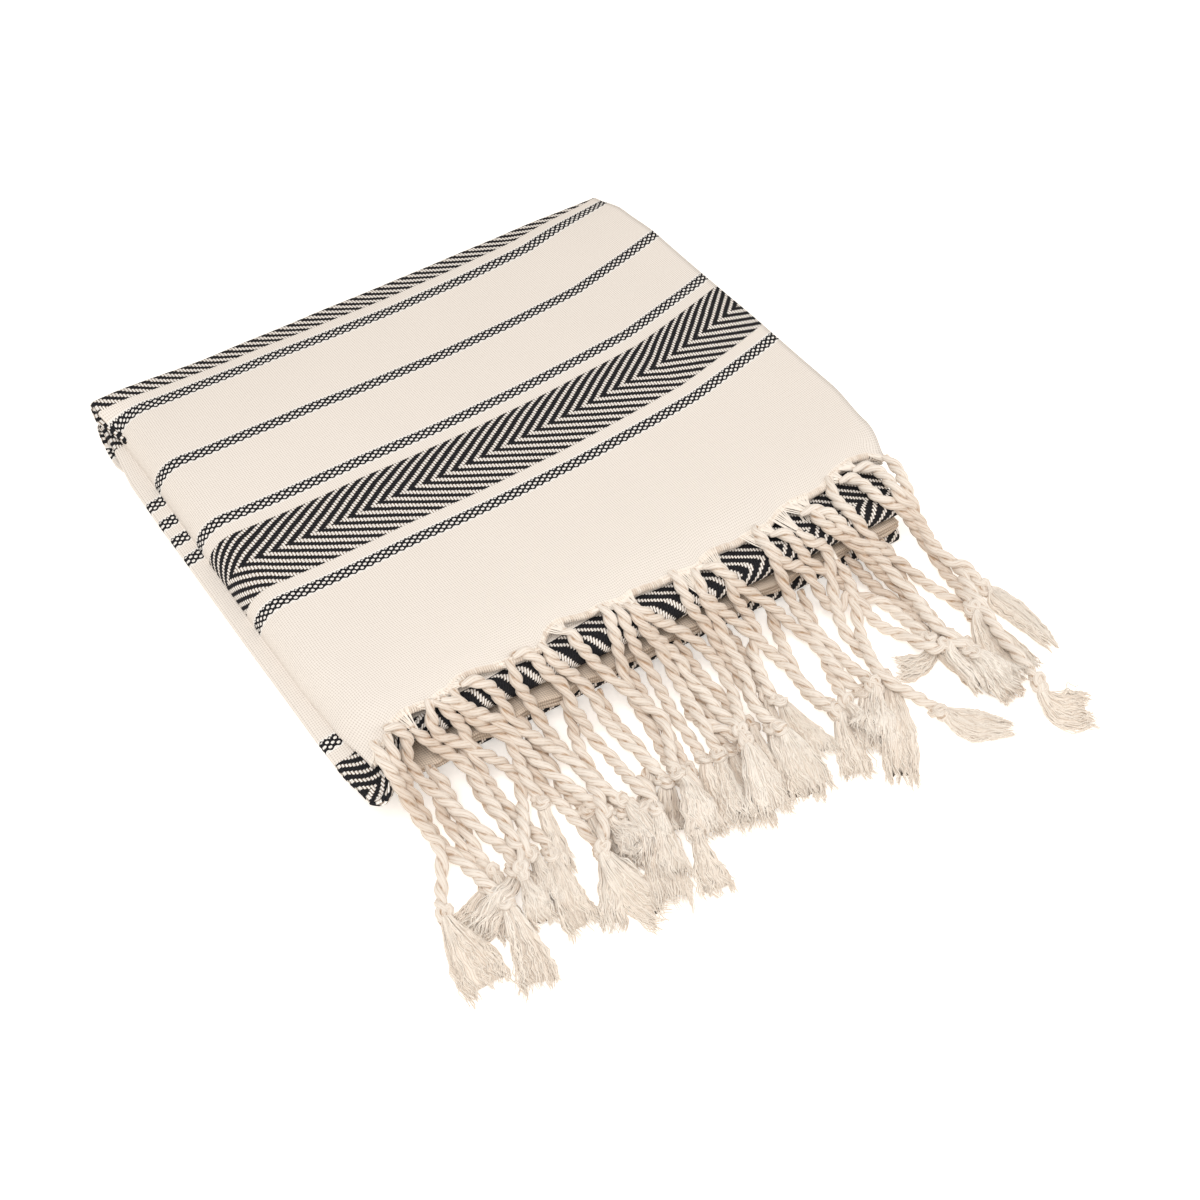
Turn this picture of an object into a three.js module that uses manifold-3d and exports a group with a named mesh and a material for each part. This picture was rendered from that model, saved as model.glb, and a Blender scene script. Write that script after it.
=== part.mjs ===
// A flat-woven cotton beach towel, folded in three along its length and then over crosswise into six layers,
// with a fringe of corded, knotted yarn along each of its two hems. Millimetres, +Z up, +X to the right along
// the weft, +Y to the back along the warp. The towel rests on the plane z = 0.
import * as THREE from 'three';
import Module from 'manifold-3d';

const wasm = await Module();
wasm.setup();

// Sizes of the cloth
const CLOTH_THICK = 1.5;
const PLY_STEP = 2.6; // from one ply to the next in one layer
const LAYER_STEP = 8.1; // from one layer to the next in the stack
const CURL_ARC = 22; // the left end of an outer layer that rolls over the layers inside it
const PLY_TURN = PLY_STEP / 2; // radius of the fold between two plies
const LAYER_HALF = PLY_STEP + CLOTH_THICK / 2;
const RIGHT_FOLD_INSET = 3; // the fold of the lower plies stays behind the selvedge on top

// Sizes of the fringes
const TEETH = 22;
const TOOTH_FIRST = -150; // x of the leftmost cord
const TOOTH_PITCH = 14.4;
const TOOTH_FAN = 0.035; // how much the cords spread sideways for each mm of x
const TOOTH_SWAY = 1.0; // uneven lie of the cords
const TOOTH_UNEVEN = 0.04; // share by which their lengths differ
const BAR_SIDE = 3; // twined heading that carries the cords
const BAR_GAP = 0.3; // from the hem to the heading
const RING_SIDES = 5;

// Lines across the stack where a run of the cloth ends: y at the middle, and its slope along x.
const LINES = {
  upper_hem: { y: -120, slope: 0 },
  top_back: { y: 145, slope: -0.037 },
  upper_front: { y: -130, slope: -0.09 },
  outer_back: { y: 141, slope: -0.03 },
  lower_front: { y: -131, slope: -0.085 },
  inner_back: { y: 139.5, slope: -0.03 },
  lower_hem: { y: -141, slope: -0.06 },
};

// The runs of the length, in order from the upper hem. level counts the layers from the bottom.
const RUNS = [
  { level: 5, from: 'upper_hem', to: 'top_back' },
  { level: 4, from: 'top_back', to: 'upper_front' },
  { level: 3, from: 'upper_front', to: 'outer_back' },
  { level: 0, from: 'outer_back', to: 'lower_front' },
  { level: 1, from: 'lower_front', to: 'inner_back' },
  { level: 2, from: 'inner_back', to: 'lower_hem' },
];

// The outline of each run: at is the share of the run, left and right its outermost x, curl how far its left
// end rolls over (1 is a quarter turn), and lip the straight part beyond the roll.
const OUTLINE = [
  { run: 0, at: 0, left: -159, right: 160, curl: 0.45, lip: 1 },
  { run: 0, at: 0.08, left: -163, right: 168, curl: 0.75, lip: 1 },
  { run: 0, at: 0.2, left: -164, right: 172, curl: 1, lip: 1 },
  { run: 0, at: 0.45, left: -164, right: 168.5, curl: 1, lip: 1 },
  { run: 0, at: 0.8, left: -164.5, right: 167, curl: 0.95, lip: 1 },
  { run: 0, at: 1, left: -163, right: 161, curl: 0.05, lip: 1 },
  { run: 1, at: 0, left: -162, right: 160, curl: 0, lip: 1 },
  { run: 1, at: 0.2, left: -152, right: 159, curl: 0, lip: 1 },
  { run: 1, at: 0.85, left: -152, right: 156, curl: 0, lip: 1 },
  { run: 1, at: 1, left: -150, right: 150, curl: 0, lip: 1 },
  { run: 2, at: 0, left: -150, right: 150, curl: 0, lip: 1 },
  { run: 2, at: 0.15, left: -155, right: 156, curl: 0, lip: 1 },
  { run: 2, at: 0.85, left: -156, right: 158, curl: 0, lip: 1 },
  { run: 2, at: 1, left: -161, right: 158, curl: 0, lip: 2 },
  { run: 3, at: 0, left: -162, right: 158, curl: 0.05, lip: 4 },
  { run: 3, at: 0.15, left: -166, right: 161, curl: 0.9, lip: 8 },
  { run: 3, at: 0.5, left: -167, right: 162, curl: 1, lip: 8 },
  { run: 3, at: 0.88, left: -167, right: 158, curl: 0.9, lip: 7 },
  { run: 3, at: 1, left: -161, right: 152, curl: 0.06, lip: 2 },
  { run: 4, at: 0, left: -160, right: 151, curl: 0, lip: 1 },
  { run: 4, at: 0.15, left: -153, right: 155, curl: 0, lip: 1 },
  { run: 4, at: 0.85, left: -153, right: 156, curl: 0, lip: 1 },
  { run: 4, at: 1, left: -155, right: 154, curl: 0, lip: 1 },
  { run: 5, at: 0, left: -155, right: 154, curl: 0, lip: 1 },
  { run: 5, at: 0.2, left: -157, right: 156, curl: 0, lip: 1 },
  { run: 5, at: 0.9, left: -156, right: 154, curl: 0, lip: 1 },
  { run: 5, at: 1, left: -152, right: 150, curl: 0, lip: 1 },
];
const RUN_SHARES = [0, 0.08, 0.2, 0.5, 0.82, 1];
const PLY_SHARES = [0, 0.15, 0.42, 0.72];
const CURL_SHARES = [0, 1 / 3, 2 / 3, 1];
const SMALL_TURNS = [45, 90, 135];
const WIDE_TURNS = [30, 60, 90, 120, 150];
const PLY_TURNS = [60, 120];

// One cord with its knot and tassel: out is the way forward from the hem, up the height of its middle.
const UPPER_TOOTH = [
  { out: 1.8, up: 46.0, wide: 5, tall: 2.6 },
  { out: 8, up: 44.8, wide: 5.2, tall: 5 },
  { out: 18, up: 41.2, wide: 5.2, tall: 5.2 },
  { out: 30, up: 26.5, wide: 5.2, tall: 5.2 },
  { out: 46, up: 11.9, wide: 5.2, tall: 5.2 },
  { out: 75, up: 9.4, wide: 5.4, tall: 5.2 },
  { out: 81, up: 10.6, wide: 9.5, tall: 8.4 },
  { out: 87, up: 9.9, wide: 5.4, tall: 5 },
  { out: 103, up: 11.5, wide: 9, tall: 4.2 },
  { out: 128, up: 10.2, wide: 12, tall: 4 },
];
const LOWER_TOOTH = [
  { out: 1.8, up: 19.5, wide: 5, tall: 2.6 },
  { out: 6, up: 15.5, wide: 5, tall: 5 },
  { out: 22, up: 2.7, wide: 5.2, tall: 5.2 },
  { out: 77, up: 2.7, wide: 5.4, tall: 5.2 },
  { out: 84, up: 3.8, wide: 9, tall: 7.4 },
  { out: 91, up: 2.9, wide: 5.4, tall: 5 },
  { out: 106, up: 2.5, wide: 9, tall: 4.6 },
  { out: 130, up: 2.2, wide: 12, tall: 4.2 },
];

const smooth = (low, high, value) => THREE.MathUtils.smoothstep(value, low, high);
const lineY = (name, x) => LINES[name].y + LINES[name].slope * x;
const levelZ = (level) => LAYER_HALF + level * LAYER_STEP;

// The pile is a little lower toward its edges and uneven in between. Heights scale from z = 0, so its
// underside stays flat.
function settle(x, y, z) {
  const edges = 0.035 * smooth(95, 172, x) + 0.03 * smooth(90, 150, y) + 0.02 * smooth(-80, -125, y);
  const waves = 0.012 * Math.sin(x / 47 + 0.6) * Math.cos(y / 38) + 0.008 * Math.sin(y / 21 + x / 90);
  return new THREE.Vector3(x, y, z * (1 - edges + waves));
}

function outlineAt(run, share) {
  const rows = OUTLINE.filter((row) => row.run === run);
  const next = Math.max(1, rows.findIndex((row) => row.at >= share));
  const low = rows[next - 1];
  const high = rows[next];
  return blend(low, high, smooth(low.at, high.at, share));
}

function blend(low, high, share) {
  const row = {};
  for (const column of ['left', 'right', 'curl', 'lip']) {
    row[column] = THREE.MathUtils.lerp(low[column], high[column], share);
  }
  return row;
}

// Stations along the length. Each has its outline and says where a point at x, n above the layer's middle
// comes to lie.
function lengthStations() {
  const stations = [];
  RUNS.forEach((run, index) => {
    const side = index % 2 === 0 ? 1 : -1;
    const z = levelZ(run.level);
    for (const share of RUN_SHARES) {
      stations.push({
        outline: outlineAt(index, share),
        place: (x, n) => [THREE.MathUtils.lerp(lineY(run.from, x), lineY(run.to, x), share), z + side * n],
      });
    }
    const next = RUNS[index + 1];
    if (next === undefined) {
      return;
    }
    const atBack = run.to.endsWith('back') ? 1 : -1;
    const goesDown = next.level < run.level ? 1 : -1;
    const outward = side * goesDown;
    const middle = (z + levelZ(next.level)) / 2;
    const radius = Math.abs(z - levelZ(next.level)) / 2;
    const turns = radius > LAYER_STEP ? WIDE_TURNS : SMALL_TURNS;
    for (const turn of turns) {
      const angle = THREE.MathUtils.degToRad(turn);
      stations.push({
        outline: blend(outlineAt(index, 1), outlineAt(index + 1, 0), turn / 180),
        place: (x, n) => [
          lineY(run.to, x) + (radius + outward * n) * atBack * Math.sin(angle),
          middle + (radius + outward * n) * goesDown * Math.cos(angle),
        ],
      });
    }
  });
  return stations;
}

// Stations across the folded width, as reach (share of the straight part, of the curl, or beyond it), the
// offset from the layer's middle, and the direction in which the face of the cloth looks there.
function widthStations() {
  const flat = (share, offset, face, inset) => ({ share, curl: null, turn: 0, offset, face, inset });
  const curled = (curl, offset, face) => ({ share: null, curl, turn: 0, offset, face, inset: 0 });
  const stations = [];
  for (const share of PLY_SHARES) {
    stations.push(flat(share, PLY_STEP, 1, 0));
  }
  for (const curl of CURL_SHARES) {
    stations.push(curled(curl, PLY_STEP, 1));
  }
  for (const turn of [0, ...PLY_TURNS, 180]) {
    const angle = THREE.MathUtils.degToRad(turn);
    const offset = PLY_TURN + PLY_TURN * Math.cos(angle);
    stations.push({ share: null, curl: 'tip', turn: angle, offset, face: 1, inset: 0 });
  }
  for (const curl of CURL_SHARES.toReversed()) {
    stations.push(curled(curl, 0, -1));
  }
  for (const share of PLY_SHARES.toReversed()) {
    stations.push(flat(share, 0, -1, RIGHT_FOLD_INSET));
  }
  for (const turn of PLY_TURNS) {
    const angle = THREE.MathUtils.degToRad(turn);
    const offset = -PLY_TURN + PLY_TURN * Math.cos(angle);
    stations.push({ share: 0, curl: 'right', turn: angle, offset, face: -1, inset: RIGHT_FOLD_INSET });
  }
  for (const share of PLY_SHARES) {
    stations.push(flat(share, -PLY_STEP, 1, RIGHT_FOLD_INSET));
  }
  return stations;
}

// A point of the cross-section: reach is measured to the left from where the curl starts.
function sectionPoint(outline, station, lift) {
  const angle = Math.max(0.002, outline.curl * Math.PI / 2);
  const radius = CURL_ARC / angle;
  const tipOut = (outline.lip + PLY_TURN + CLOTH_THICK / 2) * Math.cos(angle);
  const start = outline.left + radius * Math.sin(angle) + LAYER_HALF * Math.sin(angle) + tipOut;
  let reach = 0;
  let offset = station.offset;
  if (station.curl === null) {
    reach = (start - outline.right + station.inset) * (1 - station.share);
    offset += station.face * lift;
  } else if (station.curl === 'tip') {
    reach = CURL_ARC + outline.lip + (PLY_TURN + lift) * Math.sin(station.turn);
    offset += lift * Math.cos(station.turn);
  } else if (station.curl === 'right') {
    reach = start - outline.right + station.inset - (PLY_TURN - lift) * Math.sin(station.turn);
    offset -= lift * Math.cos(station.turn);
  } else {
    reach = station.curl * CURL_ARC;
    offset += station.face * lift;
  }
  const bend = angle * THREE.MathUtils.clamp(reach / CURL_ARC, 0, 1);
  const beyond = Math.max(0, reach - CURL_ARC);
  const before = Math.min(0, reach);
  const x = start - before - radius * Math.sin(bend) - beyond * Math.cos(bend) - offset * Math.sin(bend);
  const n = -radius * (1 - Math.cos(bend)) - beyond * Math.sin(bend) + offset * Math.cos(bend);
  return [x, n];
}

function geometryFrom(points, triangles) {
  const geometry = new THREE.BufferGeometry();
  geometry.setAttribute('position', new THREE.Float32BufferAttribute(points.flatMap((p) => p.toArray()), 3));
  geometry.setIndex(triangles);
  geometry.computeVertexNormals();
  return geometry;
}

function clothGeometry() {
  const along = lengthStations();
  const across = widthStations();
  const points = [];
  const triangles = [];
  const sheet = along.length * across.length;
  for (const lift of [CLOTH_THICK / 2, -CLOTH_THICK / 2]) {
    for (const row of along) {
      for (const column of across) {
        const [x, n] = sectionPoint(row.outline, column, lift);
        const [y, z] = row.place(x, n);
        points.push(settle(x, y, z));
      }
    }
  }
  const quad = (a, b, c, d) => triangles.push(a, b, c, a, c, d);
  const face = (row, column) => row * across.length + column;
  const back = (row, column) => sheet + face(row, column);
  for (let row = 0; row < along.length - 1; row += 1) {
    for (let column = 0; column < across.length - 1; column += 1) {
      const far = column + 1;
      quad(face(row, column), face(row + 1, column), face(row + 1, far), face(row, far));
      quad(back(row, column), back(row, far), back(row + 1, far), back(row + 1, column));
    }
    const last = across.length - 1;
    quad(face(row, 0), back(row, 0), back(row + 1, 0), face(row + 1, 0));
    quad(face(row, last), face(row + 1, last), back(row + 1, last), back(row, last));
  }
  for (let column = 0; column < across.length - 1; column += 1) {
    const end = along.length - 1;
    const far = column + 1;
    quad(face(0, column), face(0, far), back(0, far), back(0, column));
    quad(face(end, column), back(end, column), back(end, far), face(end, far));
  }
  return geometryFrom(points, triangles);
}

// A closed tube through rings that each have the same number of corners.
function tubeThrough(rings) {
  const sides = rings[0].length;
  const triangles = [];
  for (let ring = 0; ring < rings.length - 1; ring += 1) {
    for (let side = 0; side < sides; side += 1) {
      const next = (side + 1) % sides;
      const low = ring * sides;
      const high = low + sides;
      triangles.push(low + side, low + next, high + next, low + side, high + next, high + side);
    }
  }
  const end = (rings.length - 1) * sides;
  for (let side = 1; side < sides - 1; side += 1) {
    triangles.push(0, side + 1, side, end, end + side, end + side + 1);
  }
  const mesh = new wasm.Mesh({
    numProp: 3,
    vertProperties: Float32Array.from(rings.flat().flatMap((p) => p.toArray())),
    triVerts: Uint32Array.from(triangles),
  });
  return new wasm.Manifold(mesh);
}

function toothSolid(index, hem, front, profile) {
  const root = TOOTH_FIRST + index * TOOTH_PITCH;
  const hemY = lineY(hem, root);
  const skew = lineY(front, root) - lineY(front, 0);
  const sway = TOOTH_FAN * root + TOOTH_SWAY * Math.sin(1.9 * index);
  const uneven = TOOTH_UNEVEN * Math.sin(2.3 * index + 0.5);
  const middles = profile.map((row) => {
    const out = row.out + uneven * Math.max(0, row.out - 40);
    const y = hemY - out + (hem === 'upper_hem' ? skew * smooth(0, 18, out) : 0);
    const x = root + sway * smooth(-140, -250, y);
    return new THREE.Vector3(x, y, row.up);
  });
  const rings = profile.map((row, place) => {
    const before = middles[Math.max(0, place - 1)];
    const after = middles[Math.min(profile.length - 1, place + 1)];
    const steep = place === 0 ? 0 : Math.atan2(before.z - after.z, before.y - after.y);
    return Array.from({ length: RING_SIDES }, (_, side) => {
      const angle = Math.PI / 2 + side * 2 * Math.PI / RING_SIDES;
      const wide = row.wide / 2 * Math.cos(angle);
      const tall = row.tall / 2 * Math.max(Math.sin(angle) / Math.cos(Math.PI / RING_SIDES), -1);
      const middle = middles[place];
      return new THREE.Vector3(
        middle.x + wide,
        middle.y - tall * Math.sin(steep),
        middle.z + tall * Math.cos(steep),
      );
    });
  });
  return tubeThrough(rings);
}

function barSolid(hem, up) {
  const half = BAR_SIDE / 2;
  const rings = Array.from({ length: 9 }, (_, place) => {
    const x = TOOTH_FIRST - 5 + place * (TOOTH_PITCH * (TEETH - 1) + 10) / 8;
    const y = lineY(hem, x) - BAR_GAP - half;
    return [[-half, -half], [half, -half], [half, half], [-half, half]].map(
      ([across, rise]) => new THREE.Vector3(x, y + across, up + rise),
    );
  });
  return tubeThrough(rings);
}

function fringeGeometry(hem, front, profile) {
  let comb = barSolid(hem, profile[0].up);
  for (let index = 0; index < TEETH; index += 1) {
    comb = comb.add(toothSolid(index, hem, front, profile));
  }
  const mesh = comb.getMesh();
  const points = [];
  for (let place = 0; place < mesh.vertProperties.length; place += mesh.numProp) {
    points.push(new THREE.Vector3().fromArray(mesh.vertProperties, place));
  }
  return geometryFrom(points, Array.from(mesh.triVerts));
}

const materials = {
  cloth: new THREE.MeshStandardMaterial({ color: 0xe9dfd0, roughness: 0.92, metalness: 0 }),
  fringe: new THREE.MeshStandardMaterial({ color: 0xe2d4c0, roughness: 0.95, metalness: 0 }),
};

const towel = new THREE.Group();
const pieces = [
  { name: 'cloth', geometry: clothGeometry(), material: materials.cloth },
  {
    name: 'fringe_upper',
    geometry: fringeGeometry('upper_hem', 'upper_front', UPPER_TOOTH),
    material: materials.fringe,
  },
  {
    name: 'fringe_lower',
    geometry: fringeGeometry('lower_hem', 'lower_front', LOWER_TOOTH),
    material: materials.fringe.clone(),
  },
];
for (const piece of pieces) {
  const mesh = new THREE.Mesh(piece.geometry, piece.material);
  mesh.name = piece.name;
  towel.add(mesh);
}

// The origin lies at the middle of the underside.
const box = new THREE.Box3().setFromObject(towel);
towel.position.set(-(box.min.x + box.max.x) / 2, -(box.min.y + box.max.y) / 2, -box.min.z);

export default towel;
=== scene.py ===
# %% [markdown]
# # A folded beach towel
#
# A flat-woven cotton towel, folded in three along its length and then crosswise into six layers, with its two
# fringes spread in front. Each cell below makes one piece of it, or one finish, and prints what it made.
#
# The first cell loads the plain model that the towel is fitted to. Everything is in metres, +Z is up, +X runs
# along the hems and +Y away from the fringes.

# %% Load the plain model and keep its parts
import math
import bpy
import numpy as np
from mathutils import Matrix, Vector


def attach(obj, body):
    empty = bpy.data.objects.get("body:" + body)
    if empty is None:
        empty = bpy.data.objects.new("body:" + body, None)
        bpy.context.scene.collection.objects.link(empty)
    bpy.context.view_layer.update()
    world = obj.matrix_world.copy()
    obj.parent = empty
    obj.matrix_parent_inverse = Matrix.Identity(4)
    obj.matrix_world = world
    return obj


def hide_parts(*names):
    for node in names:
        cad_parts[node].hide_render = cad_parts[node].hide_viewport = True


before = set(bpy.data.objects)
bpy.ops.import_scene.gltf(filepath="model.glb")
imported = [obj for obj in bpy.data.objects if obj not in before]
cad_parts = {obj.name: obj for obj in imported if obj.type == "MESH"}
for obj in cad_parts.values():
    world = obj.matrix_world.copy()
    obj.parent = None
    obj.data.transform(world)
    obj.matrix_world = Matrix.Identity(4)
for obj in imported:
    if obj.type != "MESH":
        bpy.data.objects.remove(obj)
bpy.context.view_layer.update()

MM = 0.001

# %% [markdown]
# The towel is drawn about its own zero, at the front middle of the pile, and then moved to where the plain
# model has it. Lengths in the tables are in millimetres, as on a maker's sheet.

# %% Sizes of the towel
ZERO = Vector((-2.5, 60.318, 0.0))  # where the towel's own zero lies in the model
CLOTH_THICK = 1.5
CLOTH_WIDTH = 1000.0
PLY_STEP = 2.6                      # from the middle of one ply to the next
PLY_TURN = PLY_STEP / 2             # radius of the turn from one ply to the next
LAYER_STEP = 8.1
LAYER_HALF = PLY_STEP + CLOTH_THICK / 2
CURL_ARC = 22.0                     # length of cloth in the roll at the left end of a layer


def in_model(points):
    """Points of the towel in mm, as metres in the model's frame."""
    return (np.asarray(points, float) + np.array(ZERO)) * MM


print("cloth", CLOTH_THICK, "mm thick; six layers of three plies,", LAYER_STEP * 5 + 2 * LAYER_HALF, "mm high")

# %% [markdown]
# The camera looks down at the pile from its front left corner. A lens of about 46 mm keeps the far edge only a
# little smaller than the near one. The camera is level, so its turn is a heading and a downward tilt.

# %% Camera
EYE = in_model((-283.1, -484.6, 632.6))
LOOK = Vector((0.3539, 0.4968, -0.7924))
LENS, SENSOR = 45.6, 36.0
camera_data = bpy.data.cameras.new("camera")
camera_data.sensor_width = SENSOR
camera_data.lens = LENS
camera = bpy.data.objects.new("camera", camera_data)
camera.location = EYE
camera.rotation_mode = "QUATERNION"
camera.rotation_quaternion = LOOK.to_track_quat("-Z", "Y")
bpy.context.collection.objects.link(camera)
bpy.context.scene.camera = camera
print("camera at", [round(float(c), 3) for c in EYE], "lens", LENS, "mm")

# %% [markdown]
# Soft studio light: a wide panel above and to the left, a second one from the front right, and a bright even
# surrounding that fills the shadows between the cords with light off the pale floor.

# %% Floor and light
PILE_MIDDLE = (0, 0, 0.02)
KEY = dict(place=(-0.6, -0.45, 1.65), size=1.0, watts=15.8)
FILL = dict(place=(0.9, -1.0, 1.2), size=1.2, watts=5.6)
FLOOR_HALF = 6.0


def lamp(name, place, size, watts):
    """One square light panel that looks at the pile."""
    data = bpy.data.lights.new(name, "AREA")
    data.shape = "SQUARE"
    data.size = size
    data.energy = watts
    panel = bpy.data.objects.new(name, data)
    panel.location = place
    panel.rotation_mode = "QUATERNION"
    panel.rotation_quaternion = (Vector(PILE_MIDDLE) - Vector(place)).to_track_quat("-Z", "Y")
    bpy.context.collection.objects.link(panel)


def set_sockets(node, **values):
    """Sets a node's inputs by name, with underscores for spaces."""
    for name, value in values.items():
        node.inputs[name.replace("_", " ")].default_value = value


lamp("key_panel", **KEY)
lamp("fill_panel", **FILL)
world = bpy.data.worlds.new("studio")
bpy.context.scene.world = world
world.use_nodes = True
set_sockets(world.node_tree.nodes["Background"], Color=(1.0, 0.935, 0.86, 1.0), Strength=0.62)

floor_mesh = bpy.data.meshes.new("floor")
floor_mesh.from_pydata([(x * FLOOR_HALF, y * FLOOR_HALF, 0) for x, y in ((-1, -1), (1, -1), (1, 1), (-1, 1))],
                       [], [(0, 1, 2, 3)])
floor = bpy.data.objects.new("floor", floor_mesh)
bpy.context.collection.objects.link(floor)
floor_paint = bpy.data.materials.new("floor paint")
floor_paint.use_nodes = True
set_sockets(floor_paint.node_tree.nodes["Principled BSDF"], Base_Color=(0.98, 0.95, 0.91, 1.0), Roughness=0.8,
            Emission_Color=(1.0, 0.985, 0.96, 1.0), Emission_Strength=0.4)
floor_mesh.materials.append(floor_paint)
bpy.context.scene.view_settings.view_transform = "Standard"
print("two panels, an even surrounding and a pale floor")

# %% [markdown]
# ## How the cloth is folded
#
# A folded towel is one long sheet that follows two rules. Across its width it goes right to left, back, and
# right to left again, so a layer has three plies. Along its length it runs to the back of the pile and returns
# to the front, six times. If the first rule gives a point x and n (how far it lies above the middle of its
# layer), and the second says where that middle is, the two together place every point of the sheet. That is how
# the plain model was made too. Here the stations are many more, and the tables add two things that the plain
# cloth lacks: a ledge at the left, where the third run stands out from under the top one, and a flare that
# spreads the upper front fold forward at its left end.

# %% Tables of the fold
# each line across the pile: y at the middle, and how much it rises with x
LINES = {
    "upper_hem": (-120.0, 0.0),
    "top_back": (145.0, -0.037),
    "upper_front": (-130.0, -0.09),
    "outer_back": (141.0, -0.03),
    "lower_front": (-131.0, -0.085),
    "inner_back": (139.5, -0.03),
    "lower_hem": (-141.0, -0.06),
}
FLARE, FLARE_FROM, FLARE_TO = 25, -132, -162  # how far the upper front fold spreads at the left, and where
# each run of the sheet: the line it leaves, the line it reaches, and its layer, counted from the floor
RUNS = [
    ("upper_hem", "top_back", 5),
    ("top_back", "upper_front", 4),
    ("upper_front", "outer_back", 3),
    ("outer_back", "lower_front", 0),
    ("lower_front", "inner_back", 1),
    ("inner_back", "lower_hem", 2),
]
# run, share of the run, leftmost x, rightmost x, how far the left end rolls over, straight lip beyond the roll
OUTLINE = np.array([
    (0, 0.00, -158.0, 158, 0.45, 1),
    (0, 0.08, -161.5, 165.5, 0.75, 1),
    (0, 0.20, -162.5, 169, 1.00, 1),
    (0, 0.45, -162.5, 168.5, 1.00, 1),
    (0, 0.80, -162.5, 167, 0.97, 1),
    (0, 0.92, -163.5, 164, 0.85, 1),
    (0, 1.00, -167.5, 159, 0.05, 1),
    (1, 0.00, -168.5, 158, 0.00, 1),
    (1, 0.06, -165.0, 159, 0.00, 1),
    (1, 0.14, -154.0, 159, 0.00, 1),
    (1, 0.85, -153.0, 156, 0.00, 1),
    (1, 1.00, -154.0, 150, 0.00, 1),
    (2, 0.00, -166.5, 150, 0.04, 1),
    (2, 0.08, -169.5, 154, 0.12, 1),
    (2, 0.20, -170.5, 156, 0.16, 1),
    (2, 0.50, -171.5, 157, 0.16, 1),
    (2, 0.82, -172.5, 158, 0.14, 1),
    (2, 1.00, -168.0, 158, 0.00, 1),
    (3, 0.00, -168.0, 158, 0.00, 1),
    (3, 0.07, -162.0, 160, 0.00, 1),
    (3, 0.15, -158.0, 161, 0.00, 1),
    (3, 0.50, -158.0, 162, 0.00, 1),
    (3, 0.88, -158.0, 158, 0.00, 1),
    (3, 1.00, -156.0, 152, 0.00, 1),
    (4, 0.00, -156.0, 151, 0.00, 1),
    (4, 0.15, -153.0, 155, 0.00, 1),
    (4, 0.85, -153.0, 156, 0.00, 1),
    (4, 1.00, -155.0, 154, 0.00, 1),
    (5, 0.00, -155.0, 154, 0.00, 1),
    (5, 0.20, -157.0, 156, 0.00, 1),
    (5, 0.90, -156.0, 154, 0.00, 1),
    (5, 1.00, -152.0, 150, 0.00, 1),
])


def ease(low, high, value):
    """0 below low, 1 above high, smooth between; low may be the larger one."""
    t = np.clip((value - low) / (high - low), 0, 1)
    return t * t * (3 - 2 * t)


def line_y(name, x):
    """y of one of the lines across the pile, at x."""
    middle, slope = LINES[name]
    flare = FLARE * ease(FLARE_FROM, FLARE_TO, x) if name == "upper_front" else 0
    return middle + slope * x - flare


def outline_at(run, share):
    """Leftmost x, rightmost x, roll and lip of a run at a share of its length."""
    rows = OUTLINE[OUTLINE[:, 0] == run]
    after = max(1, int(np.argmax(rows[:, 1] >= share - 1e-9)))
    low, high = rows[after - 1], rows[after]
    t = ease(low[1], high[1], share)
    return low[2:] * (1 - t) + high[2:] * t


print(len(RUNS), "runs,", len(OUTLINE), "outline rows")

# %% [markdown]
# The stations along the length are close together at the hems and in the folds, where the cloth bends, and
# wider apart inside the pile, where nobody looks.

# %% Stations along the length
WIDE_FOLD_STATIONS, FOLD_STATIONS = 18, 12


def spread(*stretches):
    """Shares of a run: stretches of (from, to, steps) joined end to end."""
    shares = [np.linspace(a, b, n, endpoint=False) for a, b, n in stretches]
    return np.append(np.concatenate(shares), stretches[-1][1])


RUN_SHARES = [
    spread((0, 0.1, 14), (0.1, 0.8, 34), (0.8, 1, 12)),
    spread((0, 0.2, 5), (0.2, 0.85, 6), (0.85, 1, 6)),
    spread((0, 0.15, 6), (0.15, 0.85, 6), (0.85, 1, 6)),
    spread((0, 0.2, 10), (0.2, 0.85, 22), (0.85, 1, 12)),
    spread((0, 0.15, 5), (0.15, 0.85, 6), (0.85, 1, 4)),
    spread((0, 0.2, 4), (0.2, 0.85, 6), (0.85, 1, 14)),
]


def run_stations(index, length):
    """The stations of one run, which starts at a length from the upper hem, and how long the run is."""
    start, end, layer = RUNS[index]
    reach = abs(line_y(end, 0) - line_y(start, 0))
    common = dict(kind="run", start=start, end=end, z=LAYER_HALF + layer * LAYER_STEP, side=(-1) ** index)
    return [dict(common, share=share, outline=outline_at(index, share), length=length + reach * share)
            for share in RUN_SHARES[index]], reach


def fold_stations(index, length):
    """The stations of the fold after a run, and how long the fold is."""
    line, z, z_next = RUNS[index][1], *(LAYER_HALF + layer * LAYER_STEP for *_, layer in RUNS[index:index + 2])
    radius, down = abs(z_next - z) / 2, 1 if z_next < z else -1
    common = dict(kind="fold", end=line, middle=(z + z_next) / 2, radius=radius, down=down,
                  back=1 if line.endswith("back") else -1, outward=(-1) ** index * down)
    stations = []
    for turn in np.linspace(0, 180, WIDE_FOLD_STATIONS if radius > LAYER_STEP else FOLD_STATIONS)[1:-1]:
        t = turn / 180
        outline = outline_at(index, 1) * (1 - t) + outline_at(index + 1, 0) * t
        stations.append(dict(common, turn=math.radians(turn), outline=outline,
                             length=length + math.pi * radius * t))
    return stations, math.pi * radius


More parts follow.
